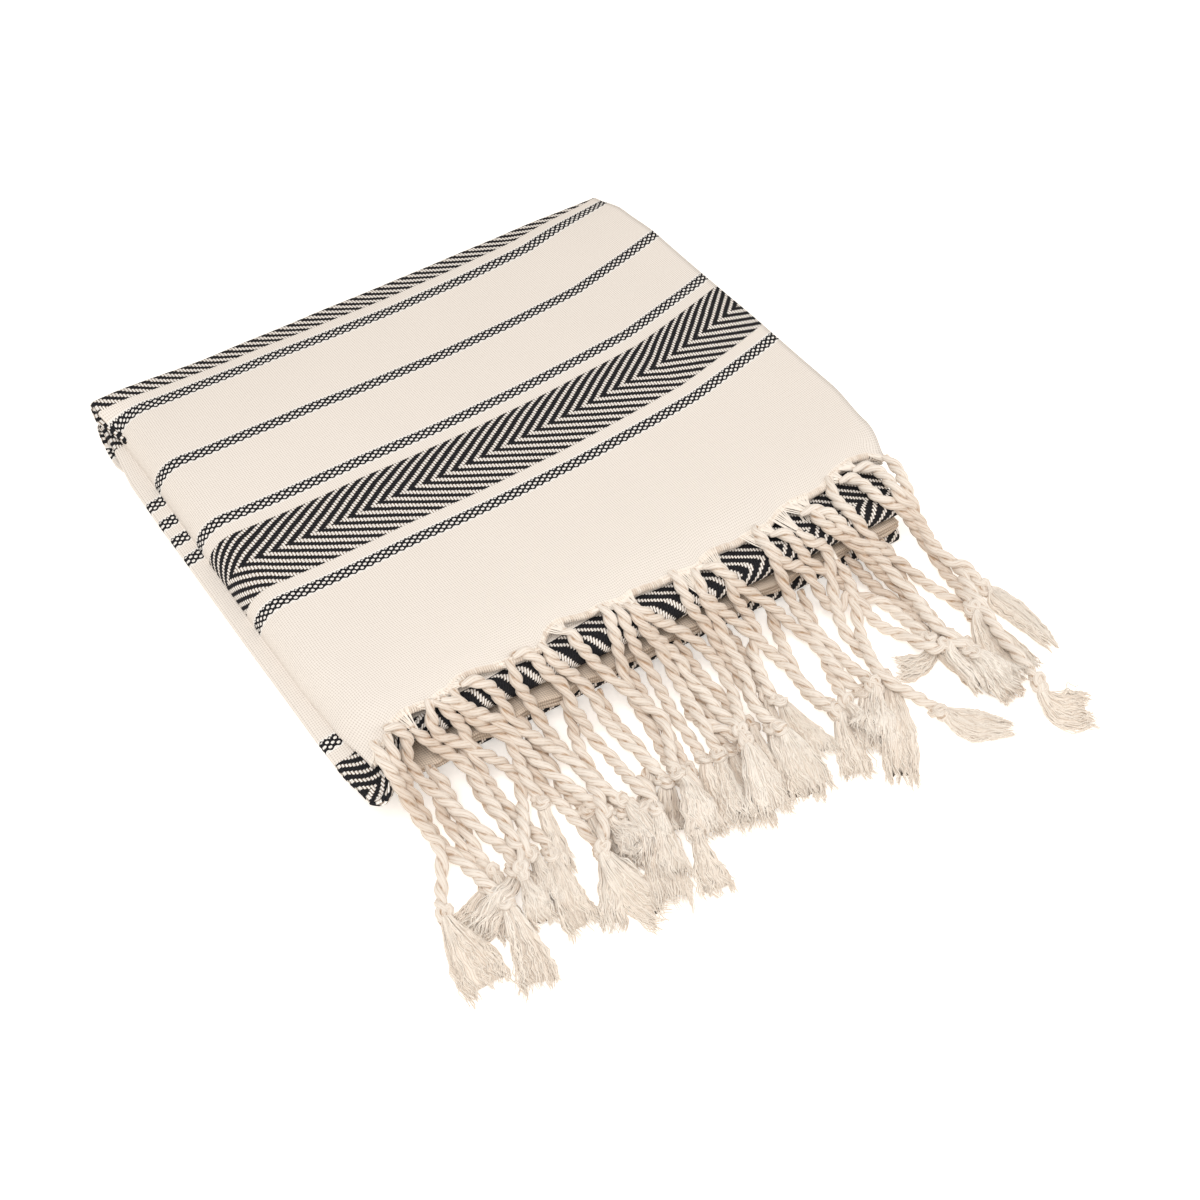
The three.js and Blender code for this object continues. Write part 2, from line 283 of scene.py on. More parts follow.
ALONG, CLOTH_LENGTH = [], 0.0
for index in range(len(RUNS)):
    for part in (run_stations, fold_stations) if index + 1 < len(RUNS) else (run_stations,):
        stations, reach = part(index, CLOTH_LENGTH)
        ALONG += stations
        CLOTH_LENGTH += reach
print(len(ALONG), "stations along", round(CLOTH_LENGTH), "mm of cloth")

# %% [markdown]
# Across one layer the sheet is flat from the right edge to the roll at the left, turns at the tip of the roll,
# comes back inside it, turns again at the right and ends at the left: three plies in one outline. Each station
# says what it is on, how far along that it is, and which way the cloth's face looks there. The outermost ply
# has the most stations, because it shows.

# %% Stations across the width
FLAT_STATIONS, HIDDEN_STATIONS, ROLL_STATIONS, TURN_STATIONS = 84, 24, 9, 7
INSET = 3  # how far the inner plies stay back from the right edge


def width_stations():
    """Kind, place along it, offset from the layer's middle, which way the face looks, inset on the right."""
    flat = np.linspace(0, 1, FLAT_STATIONS, endpoint=False)
    coarse = np.linspace(0, 1, HIDDEN_STATIONS, endpoint=False)
    rolled = np.linspace(0, 1, ROLL_STATIONS)
    turned = np.radians(np.linspace(0, 180, TURN_STATIONS))
    stations = [("flat", share, PLY_STEP, 1, 0) for share in flat]
    stations += [("roll", share, PLY_STEP, 1, 0) for share in rolled]
    stations += [("tip", turn, PLY_TURN + PLY_TURN * math.cos(turn), 1, 0) for turn in turned]
    stations += [("roll", share, 0, -1, 0) for share in rolled[::-1]]
    stations += [("flat", share, 0, -1, INSET) for share in coarse[::-1]]
    stations += [("right", turn, -PLY_TURN + PLY_TURN * math.cos(turn), -1, INSET) for turn in turned[1:-1]]
    stations += [("flat", share, -PLY_STEP, 1, INSET) for share in coarse]
    return stations


def across_layer(outline, stations, lift):
    """x and n of every station across one layer, lift mm out from the middle of the cloth."""
    left, right, roll, lip = outline
    angle = max(0.002, roll * math.pi / 2)
    radius = CURL_ARC / angle
    start = (left + radius * math.sin(angle) + LAYER_HALF * math.sin(angle)
             + (lip + PLY_TURN + CLOTH_THICK / 2) * math.cos(angle))
    rows = []
    for kind, place, offset, face, inset in stations:
        if kind == "flat":
            reach, offset = (start - right + inset) * (1 - place), offset + face * lift
        elif kind == "roll":
            reach, offset = CURL_ARC * place, offset + face * lift
        elif kind == "tip":
            reach = CURL_ARC + lip + (PLY_TURN + lift) * math.sin(place)
            offset = offset + lift * math.cos(place)
        else:
            reach = start - right + inset - (PLY_TURN - lift) * math.sin(place)
            offset = offset - lift * math.cos(place)
        bend = angle * min(max(reach / CURL_ARC, 0), 1)
        beyond, before = max(0, reach - CURL_ARC), min(0, reach)
        rows.append((
            start - before - radius * math.sin(bend) - beyond * math.cos(bend) - offset * math.sin(bend),
            -radius * (1 - math.cos(bend)) - beyond * math.sin(bend) + offset * math.cos(bend),
        ))
    return np.array(rows).T


def along_cloth(station, x, n):
    """y and z of points x, n of a layer at one station along the length."""
    if station["kind"] == "run":
        start, end = line_y(station["start"], x), line_y(station["end"], x)
        return start + (end - start) * station["share"], station["z"] + station["side"] * n
    reach = station["radius"] + station["outward"] * n
    return (line_y(station["end"], x) + reach * station["back"] * math.sin(station["turn"]),
            station["middle"] + reach * station["down"] * math.cos(station["turn"]))


ACROSS = width_stations()
print(len(ACROSS), "stations across")

# %% [markdown]
# A pile of cloth is never flat. The next cell lets it settle: it is lower toward the edges and in the middle,
# with slow waves. Heights are scaled from the floor up, so the underside stays flat and no ply cuts another.
#
# The hem is drawn forward where cords leave it and arches back between them, so it looks scalloped.

# %% Settling and the scalloped hem
HEM_LINE = np.array([
    (-165, -124), (-158, -127), (-153, -126), (-144, -121.6), (-138, -117.6), (-132, -116.4), (-126, -117.3),
    (-119, -119), (-114, -117.8), (-109, -118), (-103, -115.3), (-97, -115.4), (-91, -116.6), (-85, -118.8),
    (-76, -120.6), (-68, -121.3), (-60.5, -123), (-53, -116.5), (-47, -114.8), (-42, -115.3), (-36, -117.5),
    (-29, -119.2), (-22, -118.8), (-16, -120.4), (-11, -121.8), (-5, -120.5), (1, -120.8), (8, -122.6),
    (15, -123.4), (22, -124.5), (32, -127), (37, -123.7), (43, -122.8), (50, -123.1), (56, -125.2),
    (63, -124.9), (69, -125.2), (77, -125.9), (84, -123.2), (90, -121.4), (99, -121.2), (107, -122.4),
    (116, -122.5), (121, -121.2), (125, -118.5), (132, -117.3), (141, -116), (148, -117.5), (153, -119),
    (157, -125), (164, -128),
])
# shares of the height that the pile loses at its right, back and front edges, back left corner and middle
RIGHT_SINK, BACK_SINK, FRONT_SINK, CORNER_SINK, MIDDLE_SINK = 0.035, 0.03, 0.02, 0.085, 0.035
BROAD_WAVE, CROSS_WAVE, CREASE = 0.012, 0.008, 0.0035   # shares of the height in the waves of its top
UPPER_REACH, LOWER_REACH = 26, 22                       # how far back from each hem its shape is felt
HEM_DROP, HEM_CURL = 0.7, 1.6                           # how far the upper hem sinks, and its edge curls under
FLUTE_LENGTH, FLUTE_OUT, FLUTE_UP = 4.6, 1.6, 0.5       # the lower hem's small flutes


def settle(x, y, z):
    """Height of the settled pile for a point of the flat one."""
    edges = RIGHT_SINK * ease(95, 172, x) + BACK_SINK * ease(90, 150, y) + FRONT_SINK * ease(-80, -125, y)
    edges = edges + CORNER_SINK * ease(122, 160, y) * ease(-158, -95, x)
    waves = BROAD_WAVE * np.sin(x / 47 + 0.6) * np.cos(y / 38) + CROSS_WAVE * np.sin(y / 21 + x / 90)
    middle = MIDDLE_SINK * np.exp(-((x - 10) / 95) ** 2) * np.exp(-((y - 15) / 90) ** 2)
    creases = CREASE * np.sin(x / 9.0 + 2.0 * np.sin(y / 31)) * np.sin(y / 17 + x / 40)
    return z * (1 - edges + waves - middle + creases)


def hem_arch(x):
    """How far forward of its straight line the upper hem is at x, and 1 in the arcs between the cords."""
    forward = np.interp(x, HEM_LINE[:, 0], HEM_LINE[:, 1]) - LINES["upper_hem"][0]
    return forward, ease(-2.5, 4.5, forward)


def hem_shape(x, y, z, length, total):
    """The drawn-in hems, for points at a length along the cloth."""
    upper, lower = ease(UPPER_REACH, 0, length), ease(LOWER_REACH, 0, total - length)
    forward, arch = hem_arch(x)
    y = y + upper * forward
    z = z + upper ** 2 * (arch - HEM_DROP) - HEM_CURL * upper ** 4
    flute = x / FLUTE_LENGTH + 1.5 * np.sin(x / 37)
    y = y + lower ** 2 * FLUTE_OUT * np.sin(flute)
    z = z + lower ** 2 * FLUTE_UP * np.cos(flute)
    return y, z


print(len(HEM_LINE), "points on the line of the upper hem")

# %% [markdown]
# The sheet itself: two grids of points, one for each face of the cloth, closed around the border. Its UV map
# holds the distance from the right selvedge and from the upper hem, in metres, so the woven pattern follows the
# cloth through every fold. The two faces have their own material, because the weave is reversed on the back.

# %% Place the points of the sheet
def folded_cloth():
    """The points of both faces of the cloth, and its chart in mm."""
    points = np.zeros((2, len(ALONG), len(ACROSS), 3))
    chart = np.zeros((len(ALONG), len(ACROSS), 2))
    for row, station in enumerate(ALONG):
        outline = station["outline"]
        steps = np.hypot(*np.diff(across_layer(outline, ACROSS, 0.0), axis=1))
        distance = np.append(0, np.cumsum(steps))
        chart[row, :, 0] = distance * CLOTH_WIDTH / distance[-1]
        chart[row, :, 1] = station["length"]
        for side, lift in enumerate((CLOTH_THICK / 2, -CLOTH_THICK / 2)):
            x, n = across_layer(outline, ACROSS, lift)
            y, z = along_cloth(station, x, n)
            z = settle(x, y, z)
            y, z = hem_shape(x, y, z, station["length"], CLOTH_LENGTH)
            points[side, row, :] = np.stack([x, y, z], axis=-1)
    return points, chart


cloth_points, cloth_chart = folded_cloth()
print("two faces of", len(ALONG), "by", len(ACROSS), "points")

# %% [markdown]
# Each face is a grid of quads. The second face is the first one seen from behind, so its quads run the other
# way round, and four strips close the border. Then every face of the mesh points outwards.

# %% Make the folded sheet
def sheet_faces(rows, columns):
    """Quads of both faces and then of the border."""
    def at(side, row, column):
        return (side * rows + row) * columns + column

    quads = []
    for side in (0, 1):
        for r in range(rows - 1):
            for c in range(columns - 1):
                quad = (at(side, r, c), at(side, r + 1, c), at(side, r + 1, c + 1), at(side, r, c + 1))
                quads.append(quad if side == 0 else quad[::-1])
    end, last = rows - 1, columns - 1
    for r in range(rows - 1):
        quads.append((at(0, r, 0), at(1, r, 0), at(1, r + 1, 0), at(0, r + 1, 0)))
        quads.append((at(0, r, last), at(0, r + 1, last), at(1, r + 1, last), at(1, r, last)))
    for c in range(columns - 1):
        quads.append((at(0, 0, c), at(0, 0, c + 1), at(1, 0, c + 1), at(1, 0, c)))
        quads.append((at(0, end, c), at(1, end, c), at(1, end, c + 1), at(0, end, c + 1)))
    return quads


def mesh_object(name, points, faces):
    """A new object from points in mm about the towel's zero."""
    mesh = bpy.data.meshes.new(name)
    mesh.from_pydata(in_model(points).tolist(), [], faces)
    made = bpy.data.objects.new(name, mesh)
    bpy.context.collection.objects.link(made)
    return made


def triangles(piece):
    """How many triangles a piece has."""
    return sum(len(face.vertices) - 2 for face in piece.data.polygons)


rows, columns = cloth_chart.shape[:2]
quads = sheet_faces(rows, columns)
cloth = mesh_object("towel_cloth", cloth_points.reshape(-1, 3), quads)
cloth.data.shade_smooth()
corners = np.zeros(len(cloth.data.loops), int)
cloth.data.loops.foreach_get("vertex_index", corners)
places = cloth_chart.reshape(-1, 2)[corners % (rows * columns)] * MM
cloth.data.uv_layers.new(name="cloth_chart").data.foreach_set("uv", places.ravel())
print("cloth of", triangles(cloth), "triangles,", round(CLOTH_LENGTH), "by", round(CLOTH_WIDTH), "mm when flat")

# %% [markdown]
# ## Writing a shader as sums
#
# A woven pattern is arithmetic on the two distances of the cloth's chart. Blender does arithmetic with Math
# nodes, one node for each step. The small class below wraps a socket, so that an ordinary Python expression
# such as `(u - 3) * 2` adds those nodes by itself.

# %% A socket that can be calculated with
class Yarn:
    """Wraps an output socket; expressions on it add Math nodes to its tree."""

    def __init__(self, tree, socket):
        self.tree, self.socket = tree, socket

    def step(self, operation, *others, clamp=False):
        node = self.tree.nodes.new("ShaderNodeMath")
        node.operation, node.use_clamp = operation, clamp
        for place, value in enumerate((self, *others)):
            feed(self.tree, node.inputs[place], value)
        return Yarn(self.tree, node.outputs[0])

    def __add__(self, other): return self.step("ADD", other)
    def __radd__(self, other): return self.step("ADD", other)
    def __sub__(self, other): return self.step("SUBTRACT", other)
    def __rsub__(self, other): return (self * -1) + other
    def __mul__(self, other): return self.step("MULTIPLY", other)
    def __rmul__(self, other): return self.step("MULTIPLY", other)
    def __truediv__(self, other): return self.step("DIVIDE", other)
    def __abs__(self): return self.step("ABSOLUTE")
    def __lt__(self, other): return self.step("LESS_THAN", other)
    def __gt__(self, other): return self.step("GREATER_THAN", other)
    def part(self): return self.step("FRACT")
    def whole(self): return self.step("FLOOR")
    def sine(self): return self.step("SINE")
    def cosine(self): return self.step("COSINE")
    def most(self, other): return self.step("MAXIMUM", other)
    def kept(self): return self.step("ADD", 0.0, clamp=True)


def feed(tree, socket, value):
    """Sets a socket to a number or colour, or links it."""
    if isinstance(value, Yarn):
        value = value.socket
    if isinstance(value, bpy.types.NodeSocket):
        tree.links.new(value, socket)
    else:
        socket.default_value = value


print("sockets can be added, multiplied and compared; kept() holds a value between 0 and 1")

# %% [markdown]
# Every other node, such as a noise or a bump, comes from one method. It takes the node's type, then its
# settings, then what goes into its sockets. A dye is a material on such a board, with short ways to blend two
# colours, to make noise and to read a measure that a piece keeps at its points.

# %% Boards for nodes
class Board:
    """A node tree, and one way to put a node on it."""

    def node(self, kind, settings=(), places=(), **sockets):
        """A node with its settings, then its sockets by place or by name, with underscores for spaces."""
        made = self.tree.nodes.new(kind)
        for name, value in dict(settings).items():
            setattr(made, name, value)
        for place, value in enumerate(places):
            feed(self.tree, made.inputs[place], value)
        for name, value in sockets.items():
            feed(self.tree, made.inputs[name.replace("_", " ")], value)
        return made

    def value(self, made, output=0):
        return Yarn(self.tree, made.outputs[output])


class Dye(Board):
    """One material and the nodes in it."""

    def __init__(self, name):
        self.material = bpy.data.materials.new(name)
        self.material.use_nodes = True
        self.tree = self.material.node_tree
        self.surface = self.tree.nodes["Principled BSDF"]

    def blend(self, share, under, over):
        """A colour between under and over."""
        made = self.node("ShaderNodeMix", {"data_type": "RGBA"}, [share])
        for socket, colour in zip((s for s in made.inputs if s.type == "RGBA"), (under, over)):
            feed(self.tree, socket, colour)
        return next(s for s in made.outputs if s.type == "RGBA")

    def noise(self, scale, where, detail=2.0):
        return self.value(self.node("ShaderNodeTexNoise", Scale=scale, Detail=detail, Vector=where))

    def mark(self, name):
        """A measure that the piece keeps at its points."""
        return self.value(self.node("ShaderNodeAttribute", {"attribute_name": name}), "Fac")

    def chart(self, name):
        """A UV map of the piece."""
        return self.node("ShaderNodeUVMap", {"uv_map": name}).outputs[0]

    def place(self):
        """The point on the object."""
        return self.node("ShaderNodeTexCoord").outputs["Object"]

    def parts(self, vector):
        """The three numbers of a vector."""
        made = self.node("ShaderNodeSeparateXYZ", Vector=vector)
        return [self.value(made, axis) for axis in range(3)]

    def finish(self, height, strength, distance, **sockets):
        """The material, with a bump from height and what else its shader gets."""
        bump = self.node("ShaderNodeBump", Strength=strength, Distance=distance, Height=height)
        for name, value in dict(sockets, Normal=bump.outputs[0]).items():
            feed(self.tree, self.surface.inputs[name.replace("_", " ")], value)
        return self.material


print("boards are ready for shaders and for Geometry Nodes")

# %% [markdown]
# ## The weave
#
# The plain ground has fine ribs along the warp. Across it run two kinds of stripe, each at its own distance
# from the hem: narrow ones with staggered rows of light eyes in a dark net, and wide ones with a chevron. Dark
# weft floats make them, so their edges go in steps, which are a little wider than the ground's ribs. On the
# back of the cloth light and dark change places.

# %% Where the stripes lie
RIB = 1.527        # the step of a stripe's edge along the hem
FINE_RIB = 1.24    # from one rib of the plain ground to the next
PICK = 1.2         # from one crossing thread to the next
CHEVRON_AT = (125.0, 281.5, 571.0, 841.0, 1145.0, 1440.0, 1598.0)
CHECK_AT = (94.0, 156.0, 204.0, 252.0, 314.0, 540.0, 602.0, 733.6, 747.6, 760.7, 774.9, 867.0, 914.6, 929.6,
            943.6, 959.6, 1114.0, 1176.0, 1409.0, 1471.0, 1519.0, 1567.0, 1629.0)
CHEVRON_HALF, CHEVRON_PERIOD = 20.0, 8.72
CHECK_HALF, CHECK_ROW = 3.9, 1.45
print(len(CHEVRON_AT), "chevron bands and", len(CHECK_AT), "check stripes")

# %% [markdown]
# Each stripe is a rule for where the weft shows dark. A chevron is a saw wave along the hem that starts later
# the further a point lies from the band's middle; on the far side its strokes end in a small hook. A check is a
# dark net with light eyes in staggered rows. Both work with the distance from the nearest stripe's middle.

# %% Draw the stripes
STROKE_SLOPE, STROKE_START = 1.66, 2.1
HOOK_FROM, HOOK_LONG, HOOK_BEND = 13, 7, 2.0
NET_SHIFT, NET_BACK, NET_FRONT = 0.3, 3.35, 2.75
BACK_SCALLOP, FRONT_SCALLOP = 0.42, 0.5
EYE, EDGE_EYE, EDGE_ROW = (0.95, 0.74), (0.5, 0.4), 2.8


def nearest(v, centres, reach):
    """Distance from the middle of the stripe that v is in, and 1 in any stripe."""
    offset, inside = None, None
    for centre in centres:
        away = v - centre
        here = abs(away) < reach
        term = away * here
        offset = term if offset is None else offset + term
        inside = here if inside is None else inside + here
    return offset, inside


def chevron(u, away, back_share, front_share, wander, hand):
    """1 on the strokes of a chevron, which take up the given shares of its two halves; hand is 1 or -1."""
    back = away > 0
    along = abs(away)
    stepped = (u / RIB).whole() * RIB
    hook = back * ((along - HOOK_FROM) / HOOK_LONG).kept()
    start = along * STROKE_SLOPE + hook * hook * HOOK_BEND
    phase = ((start + stepped * hand + wander - STROKE_START) / CHEVRON_PERIOD).part()
    share = back * (back_share - front_share) + front_share
    return (phase < share) * (along < CHEVRON_HALF)


def check(u, away):
    """1 where the narrow stripe is dark: a net with eyes in staggered rows, and scalloped edges."""
    period = 3 * RIB
    away = away + NET_SHIFT
    turn = u / period
    here = ((turn + 0.5).part() - 0.5) * period
    between = (turn.part() - 0.5) * period

    def eye(across, place, half_wide, half_high):
        a, b = across / half_wide, place / half_high
        return (a * a + b * b) < 1.0

    eyes = (eye(here, abs(away) - CHECK_ROW, *EYE) + eye(between, away, *EYE)
            + eye(between, away - EDGE_ROW, *EDGE_EYE))
    back_edge = NET_BACK + (turn * (4 * math.pi)).cosine() * BACK_SCALLOP
    front_edge = -NET_FRONT - (turn * (2 * math.pi)).cosine() * FRONT_SCALLOP
    return (1 - eyes).kept() * (away < back_edge) * (away > front_edge)


print("a chevron repeats every", CHEVRON_PERIOD, "mm, a check every", round(3 * RIB, 2), "mm")

# %% [markdown]
# Woven stripes are straight, but handling pulls a folded towel out of line. On the top ply the stripes bow
# towards the back in the middle and are drawn differently at its two ends, and at the front fold the band slips
# along the cloth. The next cell moves the pattern instead of the mesh, which leaves the outline alone. Opened
# out, this cloth would show those shifts as steps in its stripes.

# %% Pull the stripes out of line
BOW, BOW_AT, BOW_WIDE = 9, 158, 26000           # how far the middle bows, where, and its half width squared
RIGHT_PULL, LEFT_PULL = 8, 3.8
FRONT_FOLD = (500, 650)                         # the lengths of cloth that lie in the upper front fold
UNDER_HEM_PULL, INNER_PULL = 22, 12


def pulled(u, v):
    """Where the pattern is read for a point of the cloth, and 1 in the upper front fold."""
    centre = u - BOW_AT
    on_top = ((v - 20) / 60).kept() * ((285 - v) / 40).kept()
    right_end = ((70 - u) / 70).kept() * (((v - 94) / 60).kept() * 3 + RIGHT_PULL)
    left_end = ((u - 245) / 70).kept() * LEFT_PULL
    v = v + on_top * ((1 - centre * centre / BOW_WIDE) * BOW - right_end + left_end)
    at_front = (v > FRONT_FOLD[0]) * (v < FRONT_FOLD[1])
    under_hem = (u > 640) * ((970 - u) / 230).kept() * UNDER_HEM_PULL
    return v + at_front * (under_hem + (u < 250) * INNER_PULL), at_front


print("stripes bow by up to", BOW, "mm on the top ply")

# %% [markdown]
# The dye puts it together. In the upper front fold the chevrons point the other way, so their hand turns there.
# Where a band is light, dark ticks show between its ribs. Ribs, crossing threads and fibres shade the plain
# ground, and also drive the bump. Cloth that lies low in front of the pile, and the last stretch before the
# lower
# hem, get painted shade: they are tinted warmer, and that last stretch darker too. That paint stays the same in
# any light.

# %% Dye the cloth
CREAM = (0.86, 0.808, 0.753, 1.0)
BLEACHED = (0.93, 0.91, 0.88, 1.0)
# tan of the painted shade in front of the pile and at the lower hem
PAINTED_SHADE_TAN = (0.93, 0.74, 0.56, 1.0)
THREAD_SHADE = (0.24, 0.17, 0.115, 1.0)
BLACK = (0.007, 0.007, 0.009, 1.0)
# grey of the painted sheen on the black strokes
SHEEN_GREY = (0.045, 0.045, 0.05, 1.0)
FACE_STROKES, REVERSE_STROKES = (0.61, 0.515), (0.36, 0.36)
WIDE_MARGIN, NARROW_MARGIN = 0.4, 0.2
# how far from the lower hem its painted shade starts, and over what length it fades in
HEM_SHADE_FROM, HEM_SHADE_OVER = 40, 14
CLOTH_ROUGH, CLOTH_BUMP, CLOTH_BUMP_DEEP = 0.92, 0.55, 0.00028
# the painted shade in front of the pile stops at these x, y and z
FRONT_SHADE_X, FRONT_SHADE_Y, FRONT_SHADE_Z = -150, -126, 41   # in the model's frame, mm
SHAKE_SCALE, WANDER_SCALE, FIBRE_SCALE, CLOUD_SCALE = 900.0, 150.0, 2600.0, 22.0   # noise, for one metre


def saw(distance, period):
    """0 in the middle of each period and 1 at its ends."""
    return abs((distance / period).part() - 0.5) * 2


def painted_front_shade(dye):
    """1 where shade is painted, low at the front of the pile, except at its left corner."""
    x, y, z = (axis * 1000 for axis in dye.parts(dye.place()))
    return ((FRONT_SHADE_Y - y) / 9).kept() * ((FRONT_SHADE_Z - z) / 9).kept() * ((x - FRONT_SHADE_X) / 8).kept()


def cloth_dye(name, reverse):
    """The cloth's material, for its face or for its reverse."""
    dye = Dye(name)
    chart = dye.chart("cloth_chart")
    u, v, _ = dye.parts(chart)
    u = u * 1000
    v, at_front = pulled(u, v * 1000)
    v = v + (dye.noise(SHAKE_SCALE, chart) - 0.5) * 0.5
    wide, in_wide = nearest(v, CHEVRON_AT, CHEVRON_HALF + WIDE_MARGIN)
    narrow, in_narrow = nearest(v, CHECK_AT, CHECK_HALF + NARROW_MARGIN)
    wander = (dye.noise(WANDER_SCALE, chart) - 0.5) * 1.1
    strokes = REVERSE_STROKES if reverse else FACE_STROKES
    zig = chevron(u, wide, *strokes, wander, 1 - at_front * 2) * in_wide
    net = check(u, narrow) * in_narrow
    dark = ((in_wide - zig) + (in_narrow - net) if reverse else zig + net).kept()
    groove, fine, pick = saw(u, RIB), saw(u, FINE_RIB), saw(v, PICK)
    fibre, cloud = dye.noise(FIBRE_SCALE, chart), dye.noise(CLOUD_SCALE, chart)
    tick = (groove > 0.6) * (1 - dark) * in_wide
    hem_shade = ((v - (CLOTH_LENGTH - HEM_SHADE_FROM)) / HEM_SHADE_OVER).kept()
    weave = fine * fine * 0.2 + pick * 0.16 + fine * pick * 0.25
    shade = weave + (fibre - 0.5) * 0.24 + (cloud - 0.5) * 0.03 - 0.115
    ground = dye.blend((in_wide + in_narrow).kept(), CREAM, BLEACHED)
    # painted shade: the low front of the pile and the stretch before the lower hem turn tan, and that stretch
    # darker
    ground = dye.blend((painted_front_shade(dye) * 0.85).most(hem_shade * 0.6), ground, PAINTED_SHADE_TAN)
    ground = dye.blend((shade + tick * 0.75 + hem_shade * (0.2 + groove * 0.15)).kept(), ground, THREAD_SHADE)
    # painted sheen: the black strokes turn toward grey, patchy with the fibre noise, less in the grooves
    # between ribs
    ink = dye.blend((fibre * 1.6 - 0.4 - groove * 0.35).kept(), BLACK, SHEEN_GREY)
    height = (1 - fine * fine) * 0.5 + pick * 0.18 + fibre * 0.25 + dark * 0.25
    return dye.finish(height, CLOTH_BUMP, CLOTH_BUMP_DEEP, Base_Color=dye.blend(dark, ground, ink),
                      Roughness=CLOTH_ROUGH, Specular_IOR_Level=0.12)


cloth.data.materials.append(cloth_dye("woven face", False))
cloth.data.materials.append(cloth_dye("woven reverse", True))
on_face = (rows - 1) * (columns - 1)
finish_of = np.repeat([0, 1, 0], [on_face, on_face, len(quads) - 2 * on_face])
cloth.data.polygons.foreach_set("material_index", finish_of)
print("cloth dyed;", len(cloth.data.materials[0].node_tree.nodes), "nodes for its face")

# %% [markdown]
# ## The fringe
#
# The warp of a flat-woven towel isn't cut off at the hem. It is gathered in bundles, two bundles are twisted
# into a cord, and a knot near the end keeps the cord from opening. Below the knot the threads hang free, as a
# tassel. The upper hem's cords fall over the front of the pile, across those of the lower hem.
#
# The table gives each cord's way over the floor, from the hem to its knot, and then its tassel's way with its
# width. The order is that in which the cords were laid down.

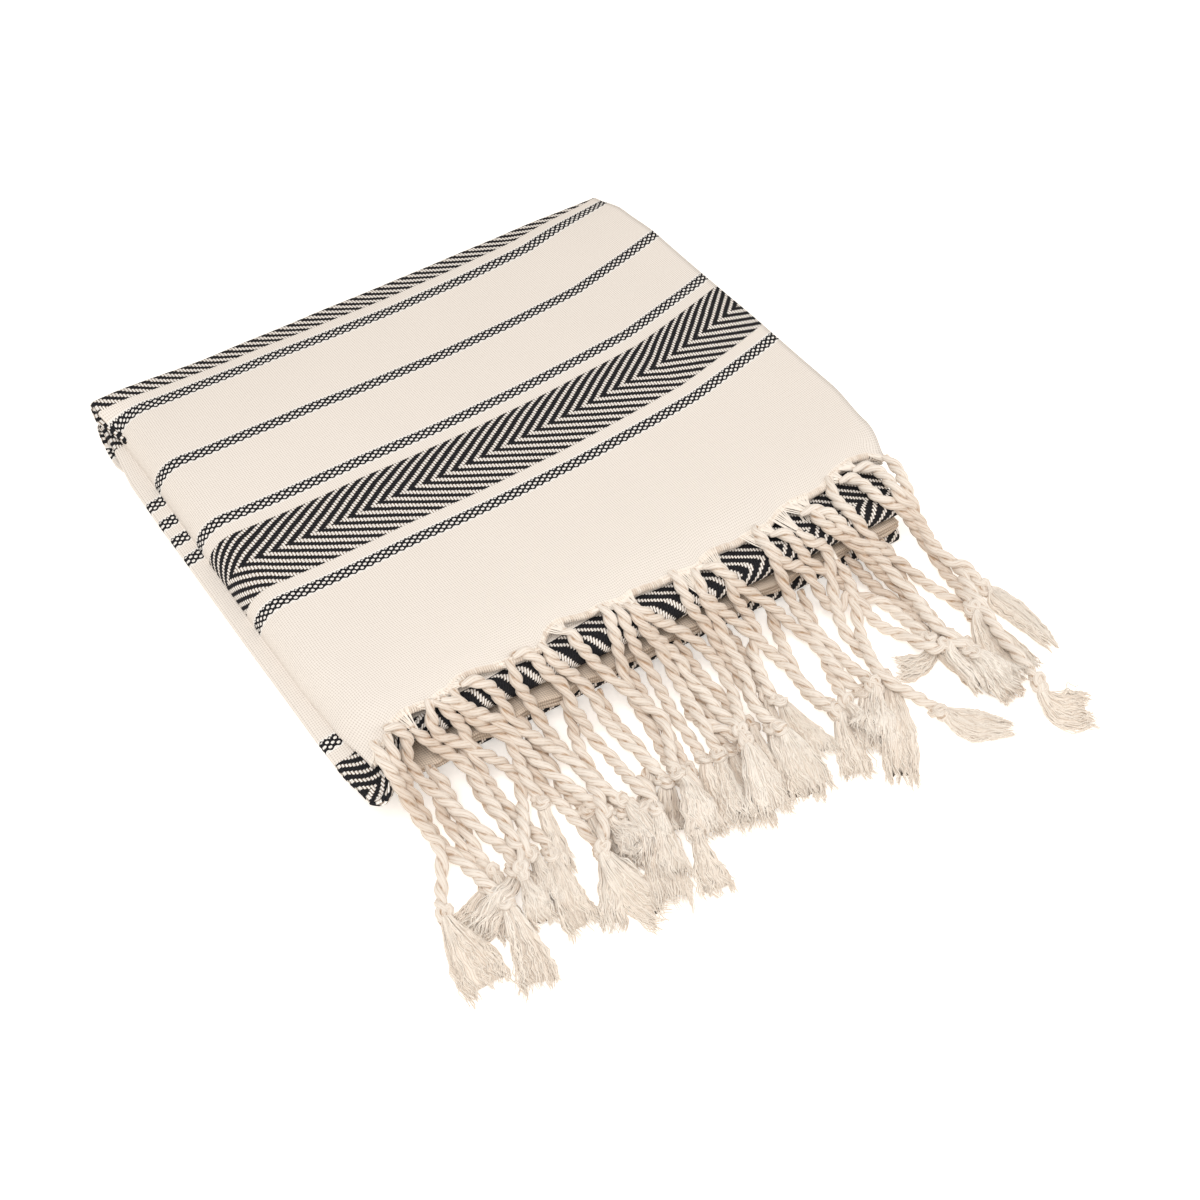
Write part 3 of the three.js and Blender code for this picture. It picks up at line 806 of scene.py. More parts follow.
# %% The cords' ways
CORDS = {"lower": [
    ([(-131.8, -133), (-132.7, -141.5), (-136.2, -148.9), (-137.6, -155.9), (-136.9, -163.4), (-139.2, -174),
      (-139.9, -194.8)],
     [(-143, -199, 10), (-151, -204, 17), (-160, -209, 19)]),
    ([(-131.8, -135.8), (-129.9, -145.5), (-134, -174.5), (-134.6, -191.7)],
     [(-136, -200, 6), (-140, -212, 10), (-145, -224, 11)]),
    ([(-113.7, -132.4), (-116.5, -152.7), (-115.4, -171.6), (-120.2, -190.7)],
     [(-122, -199, 5), (-121, -211, 10), (-124, -222, 11)]),
    ([(-90, -133.3), (-88.3, -144.9), (-89, -165.2), (-86.9, -193.8), (-87.1, -211.1)],
     [(-90, -220, 8), (-97, -232, 10), (-106, -246, 11)]),
    ([(-83.3, -131.1), (-80.3, -158.5), (-82.3, -169.9), (-80.7, -189.1)],
     [(-82, -202, 7), (-81, -216, 12), (-83, -227, 13)]),
    ([(-59.3, -139.5), (-59.8, -148.5), (-62.5, -154), (-67.2, -184), (-67.6, -198.4)],
     [(-71, -209, 7), (-75, -219, 12), (-78, -228, 12)]),
    ([(-41.1, -143.1), (-41.6, -154), (-39.3, -170.9), (-40, -180.8), (-44, -190.4)],
     [(-50, -197, 7), (-56, -204, 10), (-64, -210, 11)]),
    ([(-23.5, -138.9), (-21.5, -151.5), (-23.3, -177.3), (-28.2, -199.6)],
     [(-32, -208, 7), (-36, -218, 11), (-38, -227, 12)]),
    ([(-3.2, -144.8), (1.3, -154.2), (2.7, -164.2), (1.4, -174.1), (-5, -196.6), (-4.8, -201.8)],
     [(-6, -210, 7), (-9, -227, 12), (-18, -244, 14)]),
    ([(7, -142.7), (11.8, -170.5), (10.3, -187.6), (11.8, -196.6)],
     [(10, -206, 6), (6, -218, 11), (0, -231, 12)]),
    ([(-4.6, -165.6), (-7.4, -179.5), (1.1, -198)],
     [(1, -205, 7), (-1, -215, 12), (-6, -229, 12)]),
    ([(27.8, -145.4), (34.8, -154.4), (34.6, -168.4), (28.7, -189.1)],
     [(25, -198, 6), (20, -212, 11), (16, -227, 13)]),
    ([(60.2, -150.6), (56.4, -168.9), (49.5, -190.6), (48.1, -201.5), (51.1, -208.7)],
     [(52, -216, 7), (56, -226, 12), (57, -239, 14)]),
    ([(80.4, -152), (77.6, -166.4), (65.8, -194.7), (59.6, -214)],
     [(59, -222, 6), (57, -232, 11), (51, -243, 12)]),
    ([(112.4, -150.5), (117.9, -163.7), (123.3, -185.1), (120.9, -211.8)],
     [(120, -220, 6), (123, -232, 10), (124, -248, 10)]),
    ([(-28.6, -201.4), (-34.4, -214.7), (-44.6, -227.9)],
     [(-48, -235, 7), (-52, -248, 13), (-55, -260, 15)]),
    ([(-49.6, -189.8), (-52.2, -201.4), (-57.6, -205.5)],
     [(-65, -211, 6), (-72, -216, 10), (-80, -222, 11)]),
    ([(134.5, -152.4), (136.2, -161.7), (128.9, -215.1)],
     [(125, -226, 6), (126, -237, 10), (127, -253, 10)]),
], "upper": [
    ([(-145, -122.6), (-147.6, -133.1), (-145.8, -149.9), (-146.1, -161.5), (-138.6, -208.6)],
     [(-139, -214, 7), (-142, -235, 15), (-147, -251, 17)]),
    ([(-152, -121.9), (-152.5, -135.9), (-148.8, -160.4), (-149.1, -170.5), (-161.5, -189.8), (-162.9, -195.5)],
     [(-164, -202, 8), (-164, -220, 21), (-165, -239, 19)]),
    ([(-144.8, -119.9), (-139.9, -121.5), (-136.2, -125.1), (-140.6, -130.6), (-140.5, -136.6), (-133.3, -151),
      (-123.7, -183.5), (-124.1, -190.9), (-126.3, -196.7)],
     [(-130, -201, 8), (-141, -206, 11), (-156, -212, 16)]),
    ([(-132.9, -123.3), (-120.5, -136.5), (-117.4, -142.4), (-116, -148.5), (-116.2, -172.4), (-119, -188.3),
      (-115.8, -194.2)],
     [(-115, -200, 6), (-117, -211, 12), (-121, -220, 12)]),
    ([(-117.4, -119.2), (-111.1, -128.5), (-110.3, -132.5), (-111.1, -142), (-109, -172.9), (-105.6, -189.6),
      (-106.6, -198.5)],
     [(-109, -206, 8), (-113, -224, 14), (-114, -240, 16)]),
    ([(-119.5, -118.5), (-123.3, -126.4), (-121.7, -129.2), (-110.3, -138.7), (-97.6, -153.5), (-103.7, -169.3),
      (-117.9, -192.5), (-124, -200)],
     [(-125, -205, 5), (-127, -216, 11), (-129, -227, 13)]),
    ([(-107.4, -118.8), (-106.5, -125.4), (-104, -130.8), (-94.1, -139.6), (-92.6, -145.5), (-95, -160),
      (-95.4, -173)],
     [(-97, -179, 6), (-101, -194, 7), (-106, -210, 8)]),
    ([(-114.6, -121.1), (-97.7, -132.4), (-90.4, -141.9), (-74.7, -196.1)],
     [(-75, -202, 6), (-73, -212, 13), (-73, -222, 15)]),
    ([(-76.9, -120.1), (-77.9, -130.2), (-75.9, -133.7), (-69.7, -166), (-70.9, -176.9), (-72.9, -187.9),
      (-78.3, -199.5), (-87.9, -212.9)],
     [(-88, -220, 10), (-85, -238, 19), (-78, -253, 24)]),
    ([(-103.3, -119.7), (-97.4, -120.6), (-89.3, -127.2), (-87.4, -136.9), (-84.7, -142.7), (-74.1, -159.7),
      (-68.9, -183.9), (-64.3, -197.8)],
     [(-63, -203, 8), (-63, -222, 15), (-71, -240, 18), (-77, -254, 18)]),
    ([(-74.7, -120.3), (-68.4, -120.9), (-64.5, -125.2), (-63.6, -130.4), (-57.6, -137.4), (-57.9, -146.8),
      (-55.7, -151.1), (-56.3, -156.3), (-53.7, -168.4), (-55.2, -192.5), (-53.6, -201.5), (-55.4, -209.4)],
     [(-57, -216, 7), (-62, -228, 12), (-67, -242, 14)]),
    ([(-22.4, -118.7), (-22.4, -126.1), (-27.1, -148.9), (-27.7, -168.3), (-33.6, -193.3), (-34.2, -201.9)],
     [(-36, -209, 6), (-39, -222, 13), (-41, -235, 16)]),
    ([(-59, -120.6), (-56.8, -129.8), (-48.4, -138.4), (-45.1, -148.8), (-45.8, -153.1), (-42.2, -181.2),
      (-42, -199.5)],
     [(-44, -204, 9), (-50, -214, 12), (-55, -225, 10)]),
    ([(-46.4, -120.8), (-42.2, -124.1), (-42.4, -129.3), (-22.6, -166.2), (-26.9, -181.8), (-34.1, -194.4),
      (-35.4, -200.9)],
     [(-35, -207, 6), (-39, -220, 14), (-43, -234, 16)]),
    ([(-15.9, -122.1), (-16.3, -134.4), (-15.3, -143.3), (-13.5, -147), (-13.3, -163.8), (-17.8, -198.7)],
     [(-21, -206, 8), (-25, -220, 15), (-33, -238, 17)]),
    ([(-8.5, -134.5), (2, -150.3), (1.7, -161.7), (3.8, -169), (3.2, -184.2), (4.6, -191.8), (3.4, -200.2)],
     [(3, -209, 7), (-2, -225, 12), (-6, -239, 13)]),
    ([(-11, -124.5), (-8.2, -139.2), (-5, -143.4), (-4.1, -164.6), (-11.6, -201.6)],
     [(-14, -209, 8), (-19, -223, 13), (-24, -237, 16)]),
    ([(18.7, -121.6), (18, -138.6), (22.7, -145.7), (26.2, -163), (26, -170.2), (18.4, -205.6)],
     [(17, -214, 10), (16, -229, 18), (7, -246, 18)]),
    ([(-9.1, -127.6), (-5.8, -133.2), (13.4, -147.4), (20, -167.1), (1.1, -206.1)],
     [(0, -210, 7), (-6, -226, 14), (-10, -244, 20)]),
    ([(29.3, -126.6), (26.5, -138.1), (28.5, -147.2), (27.7, -172.3), (21, -186.2), (18.6, -194.6),
      (19.5, -208.3)],
     [(21, -215, 10), (19, -231, 18), (16, -245, 16)]),
    ([(42, -138.2), (42, -143.2), (46.8, -154.1), (45.6, -159.4), (39.3, -164.3), (31.2, -187), (30.7, -195.7)],
     [(32, -203, 12), (31, -217, 18), (28, -232, 21)]),
    ([(24.9, -137.4), (38.4, -152.9), (48, -176.3), (47.2, -200.3), (49.7, -217.5)],
     [(48, -224, 7), (43, -237, 13), (37, -251, 15)]),
    ([(74.9, -130.4), (80.8, -134.4), (87.1, -147.8), (98.1, -156.6), (107, -169.8), (113.4, -173.1),
      (117, -178.6), (118.2, -188.5), (117.5, -210.1)],
     [(113, -217, 7), (103, -216, 12), (95, -211, 13)]),
    ([(67.1, -133.7), (73.4, -143.8), (80.8, -147.7), (85.2, -152.8), (90.5, -169.8), (99.3, -167.4),
      (103.2, -171.9), (105.1, -186.7), (109.8, -200.5), (111.4, -209.9), (115.9, -218.3), (121.2, -218.7)],
     [(120, -225, 6), (120, -237, 7), (119, -249, 7)]),
    ([(34.2, -127.5), (38.7, -131.4), (44.6, -140.9), (58.3, -152.2), (67.6, -168.5), (68.6, -176.9),
      (67.6, -202), (70.4, -213.6)],
     [(67, -221, 8), (60, -229, 12), (52, -234, 13)]),
    ([(71.7, -123.8), (68.3, -133.6), (76.7, -202.7), (74.9, -216.1)],
     [(71, -223, 8), (65, -232, 13), (58, -243, 13)]),
    ([(102.4, -127.5), (101.4, -136.8), (104.3, -143.5), (115.6, -152.3), (127.5, -172.7), (128.5, -179.7),
      (126.6, -207), (127.4, -215.6), (130.9, -226.5)],
     [(129, -234, 7), (129, -248, 12), (131, -262, 12)]),
    ([(95.6, -129.2), (102.6, -132), (107, -136.3), (112.6, -147.5), (125.3, -162.3), (128.8, -184.5),
      (125.6, -202.2), (126, -220.2), (128.4, -230.4)],
     [(130, -237, 7), (132, -248, 11), (136, -259, 10)]),
    ([(86.9, -137.3), (90.5, -143), (96.5, -145.6), (98.6, -150.4), (87.5, -176.2), (86.2, -191),
      (87.5, -198.8), (85.4, -214.7)],
     [(81, -223, 11), (67, -245, 17), (52, -267, 14)]),
    ([(123.2, -119.6), (118.4, -127.9), (117.1, -137.3), (119.8, -145.1), (126.2, -155.9), (140.8, -173.5),
      (149.2, -202.7), (149.2, -212.3)],
     [(147, -220, 8), (143, -236, 18), (136, -255, 14)]),
    ([(125.8, -123.9), (133.5, -126.1), (135.8, -132.3), (136, -139.9), (138.7, -146), (148.8, -152.6),
      (156.7, -173.1), (155, -193.3), (148.2, -210.5)],
     [(148, -216, 10), (145, -236, 24), (140, -255, 18)]),
    ([(136.6, -122.4), (145.4, -125.2), (148.6, -131.9), (147.7, -147.4), (151.9, -152.3), (155.2, -163.1),
      (155.5, -169.3), (162.5, -186.3), (155.8, -200.1), (142.4, -262.7)],
     [(142, -269, 8), (147, -279, 23), (158, -287, 19)]),
    ([(157.3, -124.4), (157.9, -134.1), (153.6, -148.7), (158.9, -179.1), (163.3, -184), (164.8, -190),
      (164.5, -202.5)],
     [(167, -207, 13), (170, -222, 14), (169, -250, 5)]),
    ([(101.6, -153.6), (103.6, -162.4), (98.8, -175.6), (89.8, -190.9), (83.6, -208.3), (83.4, -219.2),
      (91, -233.6), (93.5, -244.7)],
     [(96, -248, 8), (103, -259, 18), (117, -273, 7)]),
]}
print(len(CORDS["upper"]), "cords from the upper hem,", len(CORDS["lower"]), "from the lower one")

# %% [markdown]
# Height follows from what lies underneath. A field holds the height of everything laid so far, one number for
# each square millimetre. A cord takes the highest of its own drape, from the hem down to the floor, and what
# the field says under it. It is stiff, so a hump is spread along it. Then the cord raises the field for the
# next one.

# %% Lay a cord on what is under it
CORD_HALF = 2.6              # half the thickness that a cord needs where it crosses another
CORD_STEP = 2.0              # distance between the points of a cord's path
CORD_REST = 3.4              # height of a cord's middle on the floor
HUMP_SLOPE = 0.3             # how fast a cord comes down from what it crosses
HUMP_LEAST, HUMP_MORE = 1.8, 4.7  # how far it may be lifted on the pile, and how much more beyond it
FIELD_LOW = np.array([-210.0, -320.0])
field = np.zeros((420, 220))
DISC = [(a, b, math.sqrt(CORD_HALF ** 2 - a * a - b * b)) for a in range(-3, 4) for b in range(-3, 4)
        if a * a + b * b <= CORD_HALF ** 2]
# how each row falls from the pile: past which line and by how much, from what height, how much of that it has
# lost just past the hem, how far out it reaches the floor, and how steeply
FALL = {"upper": dict(line="upper_front", gap=2.4, top=45.0, dip=2.2, reach=40, power=1.9),
        "lower": dict(line="lower_hem", gap=2, top=19.5, dip=0, reach=26, power=1.8)}


def smooth_path(points, step):
    """Points on a smooth curve through the given rows, a step apart in x and y."""
    rows = np.asarray(points, float)
    rows = np.vstack([2 * rows[0] - rows[1], rows, 2 * rows[-1] - rows[-2]])
    t = np.linspace(0, 1, 12, endpoint=False)[:, None]
    parts = []
    for a, b, c, d in zip(rows, rows[1:], rows[2:], rows[3:]):
        parts.append(0.5 * (2 * b + (c - a) * t + (2 * a - 5 * b + 4 * c - d) * t ** 2
                            + (3 * b - a - 3 * c + d) * t ** 3))
    curve = np.vstack(parts + [rows[-2:-1]])
    along = lengths(curve)
    at = np.linspace(0, along[-1], max(4, round(along[-1] / step) + 1))
    return np.stack([np.interp(at, along, column) for column in curve.T], axis=-1)


def lengths(path):
    """The length of a path up to each of its points, in x and y."""
    return np.append(0, np.cumsum(np.hypot(*np.diff(path[:, :2], axis=0).T)))


def cell(x, y):
    """Indices into the field for points x, y."""
    i = np.clip(np.round(x - FIELD_LOW[0]).astype(int), 0, field.shape[0] - 1)
    j = np.clip(np.round(y - FIELD_LOW[1]).astype(int), 0, field.shape[1] - 1)
    return i, j


def drape(row, x, y):
    """Height of a cord's middle on only the pile and the floor, and how far it is beyond the pile."""
    fall = FALL[row]
    beyond = line_y(fall["line"], x) - fall["gap"] - y
    top = fall["top"] - fall["dip"] * np.clip((-120 - y) / 10, 0, 1)
    share = np.clip(beyond / fall["reach"], 0, 1)
    return np.where(beyond < 0, top, CORD_REST + (top - CORD_REST) * (1 - share) ** fall["power"]), beyond


def soften(values, passes):
    """The values after so many passes of a short running mean."""
    for _ in range(passes):
        inner = (values[:-2] + 2 * values[1:-1] + values[2:]) / 4
        values = np.concatenate([values[:1], inner, values[-1:]])
    return values


def lay_cord(row, route):
    """The path of a cord that lies along route on everything laid before it; the field is raised by it."""
    path = smooth_path(route, CORD_STEP)
    x, y = path[:, 0], path[:, 1]
    own, beyond = drape(row, x, y)
    lift = np.zeros(len(x))
    for a, b, up in DISC:
        under = field[cell(x + a, y + b)]
        lift = np.maximum(lift, np.where(under > 0, under + up - own, 0))
    lift = np.minimum(lift, HUMP_LEAST + HUMP_MORE * ease(0, 38, beyond))
    reach = np.abs(np.arange(len(x))[:, None] - np.arange(len(x))[None, :]) * CORD_STEP
    slack = (lift[None, :] - HUMP_SLOPE * reach).max(axis=1).clip(0)
    z = soften(own + np.maximum(soften(slack, 6), lift * 0.8), 5)
    for a, b, up in DISC:
        np.maximum.at(field, cell(x + a, y + b), z + up)
    return np.column_stack([x, y, z])


print("field of", field.size, "square millimetres")

# %% [markdown]
# An overhand knot is a cord that passes once through its own loop. Three short polynomials draw that curve; the
# cord is pulled thin in it. It leans at random, to one side or the other, as hand-tied knots do.

# %% Tie a knot
random = np.random.default_rng(7)
KNOT_SLIM = 0.72
KNOT_LONG, KNOT_WIDE, KNOT_DEEP = 1.6, 1.3, 0.16   # how far each polynomial is stretched
KNOT_POINTS = 34
KNOT_REST = 4.4                                    # lowest height of a knot's middle
ROOT_SLIM = (0.62, 0.8, 0.93, 1.0)                 # how a cord swells from its root in the hem


def tie_knot(path):
    """The path with a knot at its end, how thin the cord is at each point, and the way it leaves the knot."""
    heading = path[-1, :2] - path[-5, :2]
    heading = np.append(heading / np.hypot(*heading), 0.0)
    lean = random.uniform(-0.5, 0.5) + (math.pi if random.random() < 0.5 else 0.0)
    across = np.array([-heading[1], heading[0], 0.0]) * math.cos(lean) + np.array([0, 0, 1.0]) * math.sin(lean)
    upward = np.cross(heading, across)
    t = np.linspace(-2.0, 2.0, KNOT_POINTS)[:, None]
    middle = path[-1] * [1, 1, 0] + [0, 0, max(path[-1, 2] + 1.0, KNOT_REST)]
    knot = (middle + heading * KNOT_LONG * (t ** 3 - 3 * t) + across * KNOT_WIDE * (t ** 4 - 4 * t ** 2 + 2)
            + upward * KNOT_DEEP * (t ** 5 - 10 * t))
    plain = path[:-3]
    joined = np.vstack([plain, knot])
    slim = np.append(np.ones(len(plain)), np.full(len(knot), KNOT_SLIM))
    slim[:4] = ROOT_SLIM
    joined = np.column_stack([soften(column, 1) for column in joined.T])
    joined[:, 2] = np.maximum(joined[:, 2], CORD_HALF)
    return joined, soften(slim, 2), middle, heading


print("a knot is", round(KNOT_LONG * 4), "mm long before it is softened")

# %% [markdown]
# A tassel's threads start in the knot and spread to the tassel's width. Each tassel has a bed: a flat oval that
# follows its way and lies on what is under it. Threads run along the upper side of the oval in clumps, with
# waves left by the twist that was combed out of them. A dense bunch fills the oval, so that no light passes
# through.

# %% Comb the tassels
THREADS, CLUMPS = 84, 15
THREAD_POINTS = 12
CLUMP_ARC, CLUMP_FROM = 1.3, 0.15   # the part of the oval that has threads, and its start, in half turns
BEATS = (7, 13)                     # how long one wave of a thread is, mm
SWAY_RATE, RISE_RATE, RISE = 6.283, 5.1, 0.12
STRAY_SHARE, STRAY = 0.05, 0.5      # share of threads that leave their clump, and how far they go
CLUMP_OUT, THREAD_OUT = 0.13, 0.05  # how far clumps, and threads in them, spread sideways
TURN_SPREAD, PHASE_SPREAD = 0.11, 0.35
DEEP = (0.84, 1.08)                 # threads lie at these shares of the oval
WAVE = (0.4, 1.2)                   # height of the waves, mm
CLUMP_END, THREAD_END = (0.88, 1.0), (-0.05, 0.07)
THREAD_HALF, THREAD_RAISE, THREAD_LOWEST = 0.25, 0.2, 0.3
ROOT_WIDE, LEAST_HALF = 4.6, 2.0    # width of a tassel at its knot, and its least half width
OVAL, OVAL_THICK = 13, (1.3, 2.6)   # half width times thickness of the oval, and the limits of its thickness
BED_LINES = (-0.5, 0, 0.5)          # where across a tassel its bed is measured
BUNCH_RINGS, BUNCH_SIDES, BUNCH_END = 15, 24, 0.84


def tassel_bed(middle, heading, spots):
    """A function that places points in a tassel's oval, the tassel's length and its mean half width."""
    start = middle[:2] + heading[:2] * 2.0
    rows = smooth_path([(*start, ROOT_WIDE)] + spots, CORD_STEP)
    along = lengths(rows)
    half = np.maximum(rows[:, 2] / 2, LEAST_HALF)
    thick = np.clip(OVAL / half, *OVAL_THICK)
    way = np.gradient(rows[:, :2], axis=0)
    way /= np.hypot(*way.T)[:, None]
    beside = np.column_stack([-way[:, 1], way[:, 0]])
    under = np.mean([field[cell(*(rows[:, :2] + beside * half[:, None] * k).T)] for k in BED_LINES], axis=0)
    under = soften(np.append(max(0, middle[2] - CORD_HALF), under[1:]), 6)
    level = under + thick

    def place(share, across, up):
        """Points at shares of the length, across and up in the oval."""
        at = share * along[-1]
        beyond = np.maximum(at - along[-1], 0)
        spot = [np.interp(at, along, column) for column in (*rows[:, :2].T, *beside.T, half, thick, level)]
        x = spot[0] + spot[2] * across * spot[4] + way[-1, 0] * beyond
        y = spot[1] + spot[3] * across * spot[4] + way[-1, 1] * beyond
        z = spot[6] + up * spot[5]
        return np.column_stack([x, y, z])

    return place, along[-1], half.mean()


def comb_threads(place, length, half):
    """Paths of one tassel's threads, each laid on what was there before the tassel."""
    before = field.copy()
    threads = []
    share = np.linspace(0, 1, THREAD_POINTS)
    clumps = [dict(turn=(k + random.uniform(0, 1)) / CLUMPS * CLUMP_ARC * math.pi - CLUMP_FROM * math.pi,
                   out=random.normal(0, CLUMP_OUT), phase=random.uniform(0, 7, 2),
                   beat=length / random.uniform(*BEATS), wave=random.uniform(*WAVE) / max(4.0, half),
                   end=random.uniform(*CLUMP_END))
              for k in range(CLUMPS)]
    for index in range(THREADS):
        clump = clumps[index % CLUMPS]
        turn = clump["turn"] + random.normal(0, TURN_SPREAD)
        deep = random.uniform(*DEEP)
        stray = (clump["out"] + random.normal(0, THREAD_OUT)) * share ** 2
        if random.random() < STRAY_SHARE:
            stray = stray + random.uniform(-STRAY, STRAY) * share
        phase = clump["phase"] + random.normal(0, PHASE_SPREAD, 2)
        sway = clump["wave"] * share ** 0.5 * np.sin(phase[0] + share * clump["beat"] * SWAY_RATE)
        rise = RISE * np.sin(phase[1] + share * clump["beat"] * RISE_RATE)
        end = clump["end"] + random.uniform(*THREAD_END)
        points = place(share * end, math.cos(turn) * deep + stray + sway, math.sin(turn) * deep + rise)
        floor_under = before[cell(points[:, 0], points[:, 1])]
        lowest = np.where(share < 0.12, 0, soften(floor_under, 1) + THREAD_HALF)
        points[:, 2] = np.maximum(points[:, 2], np.maximum(lowest, THREAD_LOWEST))
        threads.append(points)
        np.maximum.at(field, cell(points[:, 0], points[:, 1]), points[:, 2] + THREAD_RAISE)
    return threads, before


def bunch_rings(place, before):
    """The rings of the dense bunch inside a tassel, ragged and flat at its end."""
    rings = []
    turns = np.linspace(0, 2 * math.pi, BUNCH_SIDES, endpoint=False)
    for part in np.linspace(0.0, BUNCH_END, BUNCH_RINGS):
        ragged = part + 0.05 * ease(0.6, BUNCH_END, part) * np.sin(turns * 9)
        shrunk = 1 - 0.75 * ease(0.66, BUNCH_END, part) ** 2
        ring = place(ragged, np.cos(turns) * 0.86, np.sin(turns) * 0.82 * shrunk)
        floor_under = before[cell(ring[:, 0], ring[:, 1])]
        top = np.sin(turns) > -0.1
        ring[:, 2] = np.maximum(ring[:, 2], np.where(top & (part > 0.1), floor_under + 0.1, 0.2))
        rings.append(ring)
    return rings


def widen(values, reach):
    """Each value replaced by the highest one within reach of it."""
    for axis in (0, 1):
        values = np.maximum.reduce([np.roll(values, k, axis) for k in range(-reach, reach + 1)])
    return values


def buried(points):
    """How deep points lie among higher cords, from 0 to 1."""
    cover = around_top[cell(points[:, 0], points[:, 1])] - points[:, 2]
    return np.clip((cover - BURIED_FROM) / BURIED_OVER, 0, 1)


BURIED_FROM, BURIED_OVER, AROUND = 2.8, 9, 4
laid = {row: dict(cords=[], threads=[], bunches=[]) for row in ("upper", "lower")}
for row, cords in CORDS.items():
    for route, spots in cords:
        path, slim, middle, heading = tie_knot(lay_cord(row, route))
        place, length, half = tassel_bed(middle, heading, spots)
        threads, before = comb_threads(place, length, half)
        laid[row]["cords"].append((path, slim))
        laid[row]["threads"] += threads
        laid[row]["bunches"].append(bunch_rings(place, before))
around_top = widen(field, AROUND)
print({row: (len(of["cords"]), "cords", len(of["threads"]), "threads") for row, of in laid.items()})

# %% [markdown]
# A twisted cord follows a rule, so Geometry Nodes make it. The tree takes bare paths. It sets points along them
# at even steps, moves them out from the path by an angle that grows with the distance, once for each ply, and
# draws a round section along each moved path. It keeps two measures on the surface for the shader: where a
# point lies around and along its ply, and whether it faces outwards or into the groove between the plies.

# %% A board for Geometry Nodes
class Loom(Board):
    """One Geometry Nodes tree with named inputs."""

    def __init__(self, name):
        self.tree = bpy.data.node_groups.new(name, "GeometryNodeTree")
        self.entry = self.node("NodeGroupInput")
        self.sockets = {}
        self.tree.interface.new_socket(name="Mesh", in_out="OUTPUT", socket_type="NodeSocketGeometry")

    def entrances(self, **kinds):
        """Named inputs of the tree, each kind being the end of its socket type."""
        for key, kind in kinds.items():
            name = key.replace("_", " ")
            item = self.tree.interface.new_socket(name=name, in_out="INPUT", socket_type="NodeSocket" + kind)
            self.sockets[key] = item.identifier
        return [Yarn(self.tree, self.entry.outputs[key.replace("_", " ")]) for key in kinds]

    def stored(self, name, kind="FLOAT"):
        """A named attribute of the points."""
        return self.node("GeometryNodeInputNamedAttribute", {"data_type": kind}, Name=name).outputs[0]

    def store(self, geometry, name, kind, value):
        """The geometry with a named attribute on its points."""
        return self.node("GeometryNodeStoreNamedAttribute", {"data_type": kind, "domain": "POINT"},
                         Geometry=geometry, Name=name, Value=value).outputs[0]

    def vector(self, operation, *values, scale=None):
        made = self.node("ShaderNodeVectorMath", {"operation": operation}, values)
        if scale is not None:
            feed(self.tree, made.inputs["Scale"], scale)
        return made.outputs["Value" if operation == "DOT_PRODUCT" else "Vector"]

    def section(self, sides, half):
        """A circle, to be drawn along a path."""
        return self.node("GeometryNodeCurvePrimitiveCircle", {"mode": "RADIUS"}, Resolution=sides,
                         Radius=half).outputs["Curve"]

    def tube(self, path, section):
        """A closed tube along a path, as thin as the path's points say."""
        return self.node("GeometryNodeCurveToMesh", Curve=path, Scale=self.stored("slim"), Fill_Caps=True,
                         Profile_Curve=section).outputs[0]

    def close(self, geometry, material):
        """Ends the tree: real geometry, smooth, with its material."""
        smooth = self.node("GeometryNodeSetShadeSmooth", Geometry=geometry)
        real = self.node("GeometryNodeRealizeInstances", Geometry=smooth.outputs[0])
        dyed = self.node("GeometryNodeSetMaterial", Geometry=real.outputs[0], Material=material)
        self.node("NodeGroupOutput", (), [dyed.outputs[0]])

    def weave(self, name, paths, marks, **values):
        """A plain mesh from paths in mm: marks are per-point numbers, values the tree's inputs."""
        counts = [len(path) for path in paths]
        mesh = bpy.data.meshes.new(name)
        starts = np.append(0, np.cumsum(counts))
        edges = [(a, a + 1) for s, n in zip(starts, counts) for a in range(s, s + n - 1)]
        mesh.from_pydata(in_model(np.vstack(paths)).tolist(), edges, [])
        for mark, numbers in marks.items():
            mesh.attributes.new(mark, "FLOAT", "POINT").data.foreach_set("value", np.concatenate(numbers))
        made = bpy.data.objects.new(name, mesh)
        bpy.context.collection.objects.link(made)
        modifier = made.modifiers.new("loom", "NODES")
        modifier.node_group = self.tree
        for socket, value in values.items():
            modifier[self.sockets[socket]] = value
        whole = made.evaluated_get(bpy.context.evaluated_depsgraph_get())
        plain = bpy.data.meshes.new_from_object(whole, preserve_all_data_layers=True,
                                                depsgraph=bpy.context.evaluated_depsgraph_get())
        made.modifiers.remove(modifier)
        made.data = plain
        plain.name = name
        return made


print("a loom turns paths into a plain mesh")

# %% [markdown]
# The first tree draws both plies of a cord. The second is simpler: one thin tube along each path, for threads
# that have no twist. Both end with real, smooth geometry that has its material, and no modifier is left.

# %% The twisted cord tree and the thread tree
UNEVEN_RATE, UNEVEN = 175, 0.55  # how the twist runs tighter and looser along a cord


